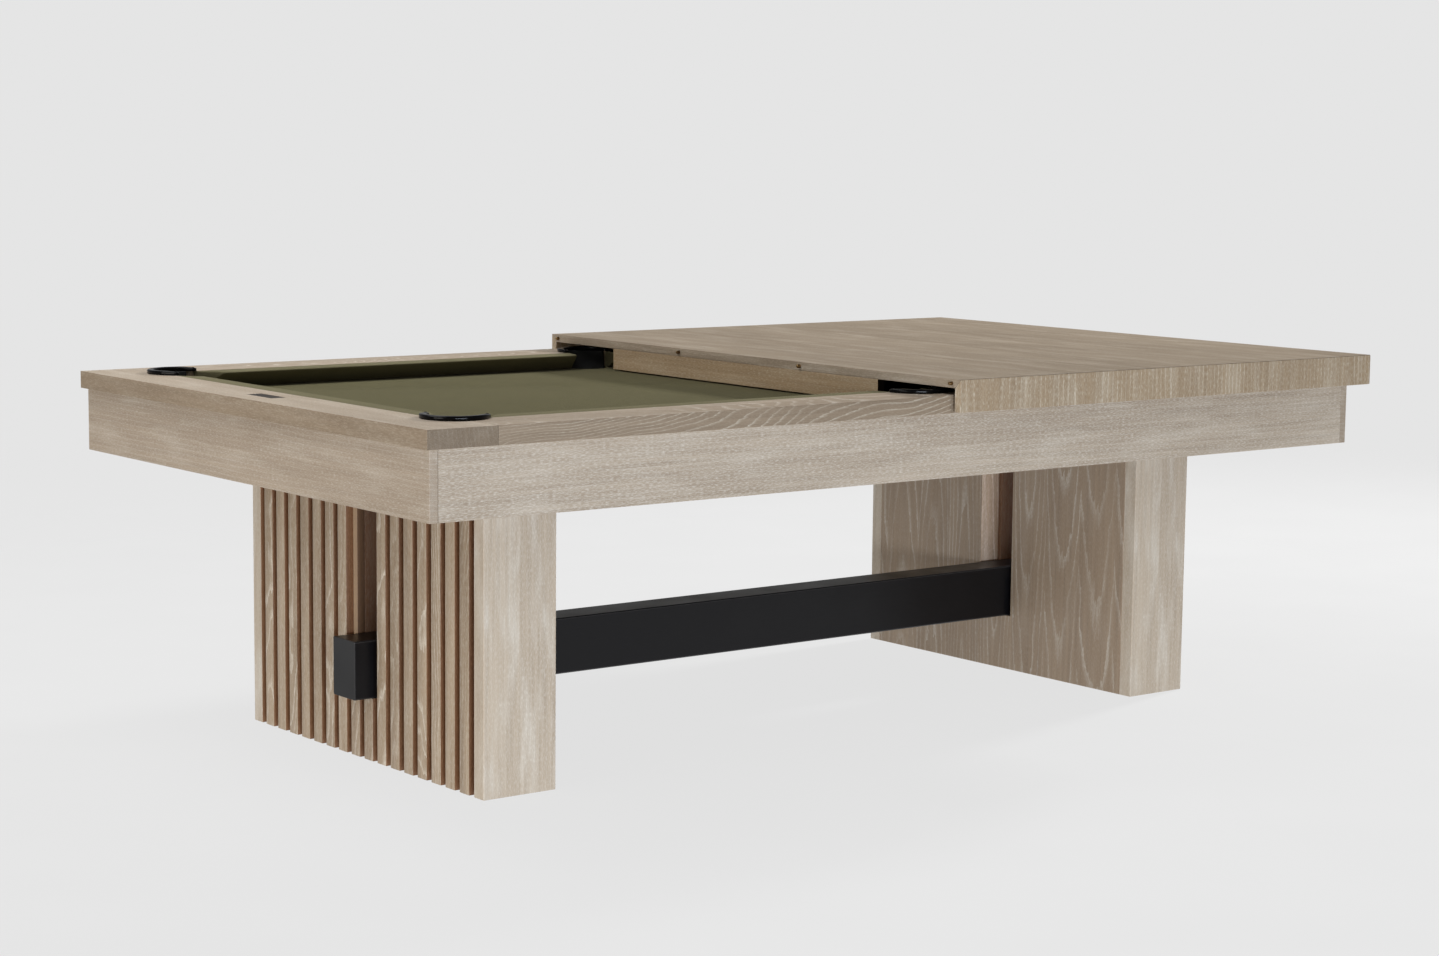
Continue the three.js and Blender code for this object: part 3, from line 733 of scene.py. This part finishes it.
def slat_places(end):
    """The y of each slat's lower edge, and the height that it reaches."""
    low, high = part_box(f"{end}_leg_right_panel")[0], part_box(f"{end}_leg_left_panel")[1]
    pitch = (high.y - low.y - SLAT_W) / (SLATS - 1)
    edges = low.y + pitch * np.arange(1, SLATS - 1)
    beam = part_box("trestle_beam")
    under = np.abs(edges + SLAT_W / 2) < beam[1].y
    tops = np.where(under, beam[0].z - GAP, high.z)
    return edges, tops


def slatted_face(end, sx):
    """The slats in front of three backing boards, which leave the slot open."""
    node = f"{end}_leg_slatted_panel"
    low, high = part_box(node)
    face, back = (high.x, low.x) if sx > 0 else (low.x, high.x)
    behind = face - sx * SLAT_DEPTH
    near, far = sorted((face, behind + sx * SLAT_GAP))
    slats = [
        eased_board((near, y, low.z), (far, y + SLAT_W, top), SLAT_EASE)
        for y, top in zip(*slat_places(end))
    ]
    numbers = np.arange(len(slats)) + (0.0 if sx < 0 else FOOT_PLANKS)
    make_piece(f"{end}_leg_slats", slats, slat_oak, "table", [node], numbers)
    near, far = sorted((behind, back))
    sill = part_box("trestle_beam")[0].z - GAP
    boards = [
        eased_board((near, low.y, low.z), (far, -SLOT_HALF, high.z), BACKING_EASE),
        eased_board((near, SLOT_HALF, low.z), (far, high.y, high.z), BACKING_EASE),
        eased_board((near, -SLOT_HALF, low.z), (far, SLOT_HALF, sill), BACKING_EASE),
    ]
    make_piece(f"{end}_leg_backing", boards, backing_oak, "table", [node])
    return len(slats)


for end, sx in ENDS.items():
    print(end, "leg:", slatted_face(end, sx), "slats")

# %% [markdown]
# ## Trestle beam
# A square black beam joins the two legs. It is lacquered satin black over oak: the grain is
# felt more than seen, and the edges have gone slightly grey.

# %% Beam
BEAM_EASE = 0.9 * MM


def black_lacquer(name, base, rough, depth):
    """Dark coat with a faint grain relief along X and a cloudy sheen."""
    pores, cloud = ((30.0, 420.0), 3.0, 0.6), (7.0, 3.0)
    dark = tuple(v * 0.75 for v in base[:3]) + (1,)
    sheen = (rough - 0.05, rough + 0.06)
    return two_tone(name, (dark, base), (0.35, 0.7), pores, sheen, cloud, depth, pores,
                    Specular_IOR_Level=0.24)


beam_black = black_lacquer("beam_black", (0.0048, 0.0045, 0.0055, 1), 0.34, 0.08 * MM)
beam_edge = black_lacquer("beam_edge_black", (0.035, 0.033, 0.033, 1), 0.45, 0.05 * MM)
dress("trestle_beam", beam_black, BEAM_EASE, beam_edge)
print("beam dressed")

# %% [markdown]
# ## Dining top, foot half
# The top is veneered in one sheet whose grain runs across the table and turns down over the
# mitred long edges, so the side skirts show it upright. It is a little browner than the
# table. Under its middle edge hangs a thin board, and brass pins line up the other half.

# %% Dining top
TOP_LEAF = 0.29
TOP_PANEL = {
    "light": (0.300, 0.238, 0.172, 1), "dark": (0.205, 0.156, 0.108, 1), "lime": (0.54, 0.475, 0.39, 1),
}
SKIRT = {
    "light": (0.345, 0.248, 0.150, 1), "dark": (0.262, 0.185, 0.112, 1), "lime": (0.60, 0.535, 0.43, 1),
}
CROSS_BOARD = {
    "light": (0.36, 0.25, 0.142, 1), "dark": (0.245, 0.165, 0.090, 1), "lime": (0.50, 0.42, 0.31, 1),
    # The ends are nearly black: painted shade of the dark gap beside the cushions.
    "ends": (0.04, 0.03, 0.02, 1),
}
flat_sheet = grain_settings(depth=-0.06, leaf=TOP_LEAF, tilt=0.012, ring=0.011, figure=0.25,
                            pores=0.22, patches=0.8, wander=0.03, wash=0.25)
dress_board("dining_top_panel", "YXZ", 1, **TOP_PANEL, **flat_sheet)
for side, sy in SIDES.items():
    upright = grain_settings(depth=-sy * 0.03, leaf=TOP_LEAF, tilt=0.03, ring=0.012, figure=0.55,
                             pores=0.50, patches=0.7, wash=0.25)
    dress_board(f"dining_top_{side}_skirt", "ZXY", sy, ends=END_PALE, **SKIRT, **upright)
dress_board("dining_top_foot_skirt", "YZX", 1, **SKIRT, **plain())
dress_board("dining_top_cross_board", "YZX", -1, **CROSS_BOARD, **plain())
print("dining top dressed")

# %% [markdown]
# ## Cloth
# The bed and the cushions wear a worsted wool cloth in olive. Up close it is a fine even
# weave with a short nap; from a few steps away only a soft mottle is left. The weave follows
# the surface through an attribute that holds distances along and around each piece.

# %% Group: woven cloth
THREAD = 0.6 * MM
CLOTH_RELIEF = 0.12 * MM


def cloth_group():
    """Over-and-under weave: |sin| of the two directions, swapped in a checker of threads."""
    tree, source = new_group("woven_cloth", {"Thread": THREAD}, ("Light", "Dark"))
    x, y, _ = add(tree, "SeparateXYZ", source["Vector"]).outputs
    turns = [calc(tree, "DIVIDE", v, source["Thread"]) for v in (x, y)]
    waves = [calc(tree, "SINE", calc(tree, "MULTIPLY", t, math.pi)) for t in turns]
    warp, weft = [calc(tree, "ABSOLUTE", wave) for wave in waves]
    cells = calc(tree, "ADD", *[calc(tree, "FLOOR", t) for t in turns])
    over = calc(tree, "PINGPONG", cells, 1.0)
    height = calc(tree, "MULTIPLY_ADD", calc(tree, "SUBTRACT", warp, weft), over, weft)
    nap = noise(tree, source["Vector"], 900.0, 2.0)
    mottle = noise(tree, source["Vector"], 9.0, 3.0)
    share = calc(tree, "MULTIPLY_ADD", height, 0.35, calc(tree, "MULTIPLY", nap, 0.35))
    share = ramp_to(tree, calc(tree, "MULTIPLY_ADD", mottle, 0.4, share), 0.2, 0.9)
    return end_group(tree, Color=blend_colour(tree, share, source["Dark"], source["Light"]),
                     Height=calc(tree, "MULTIPLY_ADD", nap, 0.5, height),
                     Roughness=ramp_to(tree, mottle, 0.3, 0.7, 0.88, 0.98))


def cloth_finish(name, light, dark):
    material, tree, shader = new_material(name)
    point = add(tree, "Attribute", attribute_name="weave").outputs["Vector"]
    out = use_group(tree, WOVEN, Vector=point, Light=light, Dark=dark)
    feed(tree, shader, Base_Color=out["Color"], Roughness=out["Roughness"], Sheen_Weight=0.04,
         Sheen_Roughness=0.5, Specular_IOR_Level=0.06)
    bump(tree, shader, out["Height"], CLOTH_RELIEF)
    return material


def set_weave(piece, values):
    layer = piece.data.attributes.new("weave", "FLOAT_VECTOR", "POINT")
    layer.data.foreach_set("vector", np.ascontiguousarray(values, dtype=np.float32).ravel())


WOVEN = cloth_group()
bed_wool = cloth_finish("bed_cloth_wool", (0.112, 0.101, 0.051, 1), (0.078, 0.070, 0.035, 1))
# The cushions wear the same cloth as the bed, but paler: painted light on their tops.
cushion_wool_painted_light = cloth_finish("cushion_wool_painted_light", (0.160, 0.145, 0.082, 1), (0.115, 0.103, 0.057, 1))
print("cloth ready")

# %% [markdown]
# ## Bed cloth
# One sheet is stretched over the three slates, turned down over their edges and cut open at
# the pockets, where it rolls over the rim of each hole. Its outline is worked out once, then
# carried down as rings: a small round at the edge, a hanging hem, and back up underneath.

# %% Pocket places and bed cloth
POCKET_R = 58 * MM
HEM = 12 * MM
ROLL_R = 2 * MM
TUCK = 0.2 * MM  # how far the hem's inside stands out from the outline
cloth_low, cloth_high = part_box("bed_cloth")
AROUND = ["side_right", "foot_right", "foot_left", "side_left", "head_left", "head_right"]


def pocket_place(name):
    """Centre of a pocket in plan, from its cup, the direction away from the field, and the
    one across that."""
    low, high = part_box(f"{name}_pocket_bucket")
    centre = np.array([(low.x + high.x) / 2, (low.y + high.y) / 2])
    endwise = 0.0 if name.startswith("side") else np.sign(centre[0] - TABLE_X)
    out = np.array([endwise, np.sign(centre[1])])
    out /= np.linalg.norm(out)
    return centre, out, np.array([-out[1], out[0]])


def unit_rows(vectors):
    return vectors / np.linalg.norm(vectors, axis=1, keepdims=True)


def cloth_outline():
    """The outline, anticlockwise: at each pocket in from the edge, round the field side of
    the hole, and out again. Returns points and outward unit normals."""
    middle = np.array([TABLE_X, 0.0])
    half = np.array([(cloth_high.x - cloth_low.x) / 2, cloth_high.y])
    points = []
    for name in AROUND:
        centre, out, across = pocket_place(name)
        arc = circle(centre, POCKET_R, np.linspace(1.5 * np.pi, 0.5 * np.pi, 25), out, across)
        mouth = []
        for point in (arc[0], arc[-1]):
            room = (half - np.abs(point - middle))[out != 0] / np.abs(out[out != 0])
            mouth.append(point + out * room.min())
        points += [mouth[0][None], arc, mouth[1][None]]
    points = np.concatenate(points)
    before = unit_rows(points - np.roll(points, 1, axis=0))
    after = unit_rows(np.roll(points, -1, axis=0) - points)
    tangent = unit_rows(before + after)
    return points, np.column_stack([tangent[:, 1], -tangent[:, 0]])


def make_bed_cloth():
    """The round at the edge is a quarter turn that crosses the outline half way out."""
    points, normals = cloth_outline()
    top, under = cloth_high.z, cloth_low.z
    bend = np.linspace(0, np.pi / 2, 5)
    offsets = [ROLL_R * (s - 0.5) for s in np.sin(bend)] + [ROLL_R / 2, TUCK, TUCK]
    heights = [top - ROLL_R * (1 - c) for c in np.cos(bend)] + [top - HEM, top - HEM, under]
    rings = np.array([np.column_stack([points + normals * o, np.full(len(points), z)])
                      for o, z in zip(offsets, heights)])
    piece = make_piece("bed_cloth_sheet", [skin(rings)], bed_wool, "table", ["bed_cloth"])
    flat = rings.reshape(-1, 3)
    set_weave(piece, flat * [1, 1, 0])
    size = (2 * cloth_high.y + 2 * HEM, cloth_high.x - cloth_low.x + 2 * HEM)
    return size


print("bed cloth, cut size", [round(v, 3) for v in make_bed_cloth()])

# %% [markdown]
# ## Cushions
# A cushion is a rubber strip glued to the rail and wrapped in the same cloth. Its section has
# a nearly flat top level with the wood, a blunt nose that the ball meets, and an underside
# that slopes back to its foot on the bed. The section is carried along the rail, the two ends
# are cut at the angle of the pocket mouth and softened, and where the cloth is tucked in
# behind the wood a fine groove stays.

# %% Cushions
NOSE_FLAT = 4.5 * MM
FOOT_OUT = 14 * MM
END_SOFT = 4 * MM
BED_CLEARANCE = 0.4 * MM
CORNER_FACING = 52 * MM
SIDE_FACING = 12.5 * MM


def cushion_section(width, low, high):
    """(distance from the wood, height) around the section, starting at the hidden back."""
    rounded = [
        ((GAP, low), 0.6 * MM),
        ((FOOT_OUT, low), 2.5 * MM),
        ((width, high - NOSE_FLAT), 1.4 * MM),
        ((width, high - 2.0 * MM), 1.1 * MM),
        ((width - 6 * MM, high + 0.1 * MM), 5.5 * MM),
        ((GAP, high), 1.8 * MM),
    ]
    corners, radii = zip(*rounded)
    return rounded_outline(corners, radii, 6)


def make_cushion(node, run, sign, trims):
    """Run is the axis that the rail runs along, 0 or 1, and sign the side of the table that
    its wood is on. Trims move the ends of the nose in from those at the wood; a point at
    share s of the width stands at the mix of the two."""
    low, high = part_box(node)
    along, outward = np.eye(2)[run], sign * np.eye(2)[1 - run]
    wood = (high if sign > 0 else low)[1 - run] + sign * GAP
    width = (high - low)[1 - run]
    ends_back = np.array([low[run], high[run]])
    ends_nose = ends_back + trims
    section = cushion_section(width, cloth_high.z + BED_CLEARANCE, high.z)
    middle = (section.max(axis=0) + section.min(axis=0)) / 2
    half = (section.max(axis=0) - section.min(axis=0)) / 2
    turn = np.linspace(0, np.pi / 2, 5)
    first = [(0, END_SOFT * (1 - math.sin(a)), END_SOFT * (1 - math.cos(a))) for a in turn[::-1]]
    last = [(1, -inset, draw) for _, inset, draw in first[::-1]]
    between = [(s, 0.0, 0.0) for s in np.linspace(0.04, 0.96, 23)]
    rows, weave = [], []
    steps = np.linalg.norm(np.diff(section, axis=0), axis=1)
    round_the = np.concatenate([[0], np.cumsum(steps)])
    for share, shift, draw in first + between + last:
        drawn = middle + (section - middle) * (1 - draw / half)
        out = drawn[:, 0] / width
        starts = ends_back[0] * (1 - out) + ends_nose[0] * out
        stops = ends_back[1] * (1 - out) + ends_nose[1] * out
        station = starts * (1 - share) + stops * share + shift
        plan = station[:, None] * along + (sign * wood - drawn[:, :1]) * outward
        rows.append(np.column_stack([plan, drawn[:, 1]]))
        weave.append(np.column_stack([station, round_the, 0 * station]))
    piece = make_piece(f"{node}_wrapped", [skin(np.array(rows))], cushion_wool_painted_light, "table", [node])
    set_weave(piece, np.concatenate(weave))


for end, sx in ENDS.items():
    make_cushion(f"{end}_cushion", 1, sx, (CORNER_FACING, -CORNER_FACING))
    for side, sy in SIDES.items():
        trims = (SIDE_FACING, -CORNER_FACING) if sx > 0 else (CORNER_FACING, -SIDE_FACING)
        make_cushion(f"{end}_{side}_cushion", 0, sy, trims)
print("six cushions wrapped")

# %% [markdown]
# ## Pocket irons
# Each pocket is finished by a cast horseshoe, lacquered gloss black, that sits on the rail and
# guides the ball down. Its section is domed on top, its two tips are rounded like a spoon, and
# a button screw holds each tip.

# %% Irons and screws
IRON_W = 15 * MM
CORNER_ARM, SIDE_ARM = 23 * MM, 11 * MM
ARM_STEPS, BEND_STEPS = 12, 49
SCREW_R = 3.6 * MM
IRON_TONES = ((0.0030, 0.0028, 0.0032, 1), (0.008, 0.007, 0.008, 1))
DUST, CLOUD = (900.0, 2.0), (40.0, 3.0)
IRON_BLACK = two_tone("iron_gloss_black", IRON_TONES, (0.55, 0.8), DUST, (0.10, 0.18), CLOUD,
                      0.08 * MM, CLOUD, Specular_IOR_Level=0.10)


def iron_path(radius, arm):
    """Stations along the horseshoe: (outward, across) of the centreline, the unit direction
    across it, and the distance to the nearer tip."""
    bend = np.linspace(-np.pi / 2, np.pi / 2, BEND_STEPS)
    from_tip = np.cos(np.linspace(0, np.pi / 2, ARM_STEPS))
    lead = np.column_stack([-arm * from_tip, np.full(ARM_STEPS, -radius)])
    arc = np.column_stack([radius * np.cos(bend), radius * np.sin(bend)])
    line = np.concatenate([lead, arc[1:-1], lead[::-1] * [1, -1]])
    normal_lead = np.tile([0.0, -1.0], (ARM_STEPS, 1))
    normal = np.concatenate([normal_lead, arc[1:-1] / radius, -normal_lead])
    step = np.linalg.norm(np.diff(line, axis=0), axis=1)
    walked = np.concatenate([[0], np.cumsum(step)])
    return line, normal, np.minimum(walked, walked[-1] - walked)


def domed_section():
    """(across, up) around an iron's section, as shares of its half width and its height."""
    corners = [(-1, 0), (1, 0), (1, 0.88), (0.45, 1.0), (-0.45, 1.0), (-1, 0.88)]
    return rounded_outline(corners, [0.04, 0.04, 0.30, 0.5, 0.5, 0.30], 5)


def screw(centre, up, radius):
    """A button head with a round socket: rings of (radius, height)."""
    turns = full_turn(24)
    profile = [
        (radius * 0.15, -1.0 * MM), (radius, -1.0 * MM), (radius, 0.3 * MM), (radius * 0.82, 0.9 * MM),
        (radius * 0.46, 1.15 * MM), (radius * 0.42, 0.2 * MM), (radius * 0.06, 0.1 * MM),
    ]
    rings = [circle([*centre, up + z], r, turns, X_DIR, Y_DIR) for r, z in profile]
    return skin(np.array(rings))


def make_iron(name):
    """The domed section carried along the path: half its width at share t of the way from
    the tip to a half width in is sqrt(1 - (1 - t)^2), so each tip is round in plan."""
    centre, out, across = pocket_place(name)
    node = f"{name}_pocket_iron"
    low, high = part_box(node)
    side_low, side_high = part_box("side_right_pocket_iron")
    outside = (side_high.x - side_low.x) / 2
    reach = SIDE_ARM if name.startswith("side") else CORNER_ARM
    line, normal, to_tip = iron_path(outside - IRON_W / 2, reach)
    section = domed_section()
    spoon = np.clip(to_tip / (IRON_W / 2), 0.0, 1.0)
    half = IRON_W / 2 * np.sqrt(np.clip(1 - (1 - spoon) ** 2, 0.012, 1))
    height = (high.z - low.z) * (0.62 + 0.38 * np.clip(to_tip / (2.2 * IRON_W), 0, 1) ** 0.5)
    local = line[:, None, :] + normal[:, None, :] * (half[:, None] * section[:, 0])[..., None]
    plan = centre + local[..., :1] * out + local[..., 1:] * across
    rings = np.concatenate([plan, (low.z + height[:, None] * section[:, 1])[..., None]], axis=-1)
    make_piece(f"{node}_cast", [skin(rings)], IRON_BLACK, "table", [node], sharp=50)
    screws = []
    for index in (0, -1):
        seat = line[index] + [IRON_W * 0.55, 0]
        at = centre + seat[0] * out + seat[1] * across
        screws.append(screw(at, low.z + 0.80 * (high.z - low.z), SCREW_R))
    make_piece(f"{node}_screws", screws, IRON_BLACK, "table")


for name in AROUND:
    make_iron(name)
print("six irons cast")

# %% [markdown]
# ## Pocket cups
# Under each iron hangs a moulded cup that catches the balls. Its rim stands high on the rail
# side and drops below the cloth on the field side, so a ball rolls in.

# %% Cups
CUP_TONES = ((0.012, 0.012, 0.012, 1), (0.030, 0.029, 0.027, 1))
SCUFF, MOULD = (30.0, 4.0), (700.0, 2.0)
CUP_BLACK = two_tone("cup_moulded_black", CUP_TONES, (0.4, 0.75), SCUFF, (0.55, 0.75), SCUFF,
                     0.2 * MM, MOULD)
CUP_WALL = 4 * MM
CUP_ROUND = 14 * MM
CUP_CENTRE = 4 * MM  # radius of the small ring that closes the floor
RIM_SOFT = 1.2 * MM
LIP_DROP = 5 * MM
STEP_IN, STEP_WIDTH = 4 * MM, 5 * MM


def make_cup(name):
    """Rings of (radius, height); the rim's height depends on the turn: high where cos(turn)
    > 0, which is away from the field, low where it is below, and smooth between the two."""
    centre, out, across = pocket_place(name)
    node = f"{name}_pocket_bucket"
    low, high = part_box(node)
    radius = (high.x - low.x) / 2
    inner = radius - CUP_WALL
    turns = full_turn(72)
    side = np.clip((radius * np.cos(turns) + STEP_IN) / STEP_WIDTH + 0.5, 0, 1)
    lip = cloth_high.z - LIP_DROP
    rim = lip + (high.z - lip) * side ** 2 * (3 - 2 * side)
    level = np.full(len(turns), low.z)
    bend = np.linspace(0, np.pi / 2, 6)
    corner = [(CUP_ROUND * (1 - math.sin(a)), CUP_ROUND * (1 - math.cos(a))) for a in bend]
    rings = [(CUP_CENTRE, level)]
    rings += [(radius - inset, level + z) for inset, z in corner]
    rings += [(radius, rim - RIM_SOFT), (radius - RIM_SOFT, rim)]
    rings += [(inner + RIM_SOFT, rim), (inner, rim - RIM_SOFT)]
    rings += [(inner - inset, level + CUP_WALL + z) for inset, z in corner[::-1]]
    rings += [(CUP_CENTRE, level + CUP_WALL)]
    stacked = [np.column_stack([circle(centre, r, turns, out, across), z]) for r, z in rings]
    parts = [skin(np.array(stacked))]
    make_piece(f"{node}_moulded", parts, CUP_BLACK, "table", [node])


for name in AROUND:
    make_cup(name)
print("six cups moulded")

# %% [markdown]
# ## Pins, plate and the parts underneath
# Small things keep the eye believing: turned brass pins, a blank bronzed plate let into the
# head rail, felt strips that save the rails, the slate and the softwood frame.

# %% Pins
def brushed_metal(name, base, dark, metallic, rough, scale):
    """Metal with drawn lines along X and darker tarnish in clouds."""
    lines, tarnish = ((scale * 0.08, scale), 3.0), (22.0, 4.0)
    drawn = (rough - 0.08, rough + 0.10)
    return two_tone(name, (dark, base), (0.38, 0.66), tarnish, drawn, lines, 0.03 * MM, lines,
                    Metallic=metallic)


PINS = 4
PIN_BRASS = brushed_metal("pin_brass", (0.38, 0.24, 0.10, 1), (0.16, 0.10, 0.05, 1), 1.0, 0.34, 1800.0)


def make_pin(number):
    """A turned pin along X: radius drawn in to a round nose at both ends."""
    node = f"alignment_pin_{number}"
    low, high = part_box(node)
    centre_y, centre_z = (low.y + high.y) / 2, (low.z + high.z) / 2
    radius = (high.z - low.z) / 2
    length = high.x - low.x
    turns = full_turn(32)
    bend = np.linspace(0.12, np.pi / 2, 6)
    nose = [(radius * (1 - math.cos(a)) * 0.8, radius * math.sin(a)) for a in bend]
    stations = nose + [(length - s, r) for s, r in nose[::-1]]
    rings = [circle([low.x + s, centre_y, centre_z], r, turns, Y_DIR, Z_DIR) for s, r in stations]
    make_piece(f"{node}_turned", [skin(np.array(rings))], PIN_BRASS, "dining_top", [node])


for number in range(1, PINS + 1):
    make_pin(number)
print(PINS, "pins turned")

# %% Plate, strips, slates and timbers
PLATE_EASE, STRIP_EASE, TIMBER_EASE = 0.3 * MM, 1.0 * MM, 1.5 * MM
TIMBER = {"light": (0.50, 0.34, 0.19, 1), "dark": (0.37, 0.235, 0.12, 1), "lime": (0.25, 0.14, 0.065, 1)}


def speckled(name, light, dark, scale, rough, depth):
    """A fine two-tone speckle over broad clouds, for felt and stone."""
    material, tree, shader = new_material(name)
    fine = lumps(tree, scale, 3.0, 0.6)
    broad = lumps(tree, scale * 0.02, 3.0)
    share = calc(tree, "MULTIPLY_ADD", fine, 0.6, calc(tree, "MULTIPLY", broad, 0.6))
    colour = blend_colour(tree, ramp_to(tree, share, 0.35, 0.85), dark, light)
    worn = ramp_to(tree, fine, 0.3, 0.7, rough - 0.05, rough + 0.05)
    feed(tree, shader, Base_Color=colour, Roughness=worn)
    bump(tree, shader, fine, depth)
    return material


bronze = brushed_metal("plate_bronze", (0.085, 0.058, 0.042, 1), (0.030, 0.022, 0.018, 1), 0.35, 0.42, 900.0)
felt = speckled("strip_felt", (0.040, 0.039, 0.037, 1), (0.010, 0.010, 0.010, 1), 1100.0, 0.93, 0.3 * MM)
stone = speckled("bed_slate", (0.155, 0.160, 0.165, 1), (0.070, 0.073, 0.078, 1), 260.0, 0.72, 0.2 * MM)
dress("name_plate", bronze, PLATE_EASE)
for side in SIDES:
    dress(f"dining_top_{side}_rest_strip", felt, STRIP_EASE)
for name in ("head_slate", "middle_slate", "foot_slate"):
    dress(name, stone)
for side, sy in SIDES.items():
    growth = grain_settings(depth=0.03, tilt=0.02, ring=0.005, figure=0.5, pores=0.1)
    dress_board(f"{side}_frame_beam", "XZY", sy, TIMBER_EASE, "pine", **TIMBER, **growth)
for end, sx in ENDS.items():
    growth = grain_settings(depth=0.04, tilt=0.02, ring=0.0055, figure=0.5, pores=0.1)
    dress_board(f"{end}_frame_cross", "YZX", sx, TIMBER_EASE, "pine", **TIMBER, **growth)
print("small parts dressed")
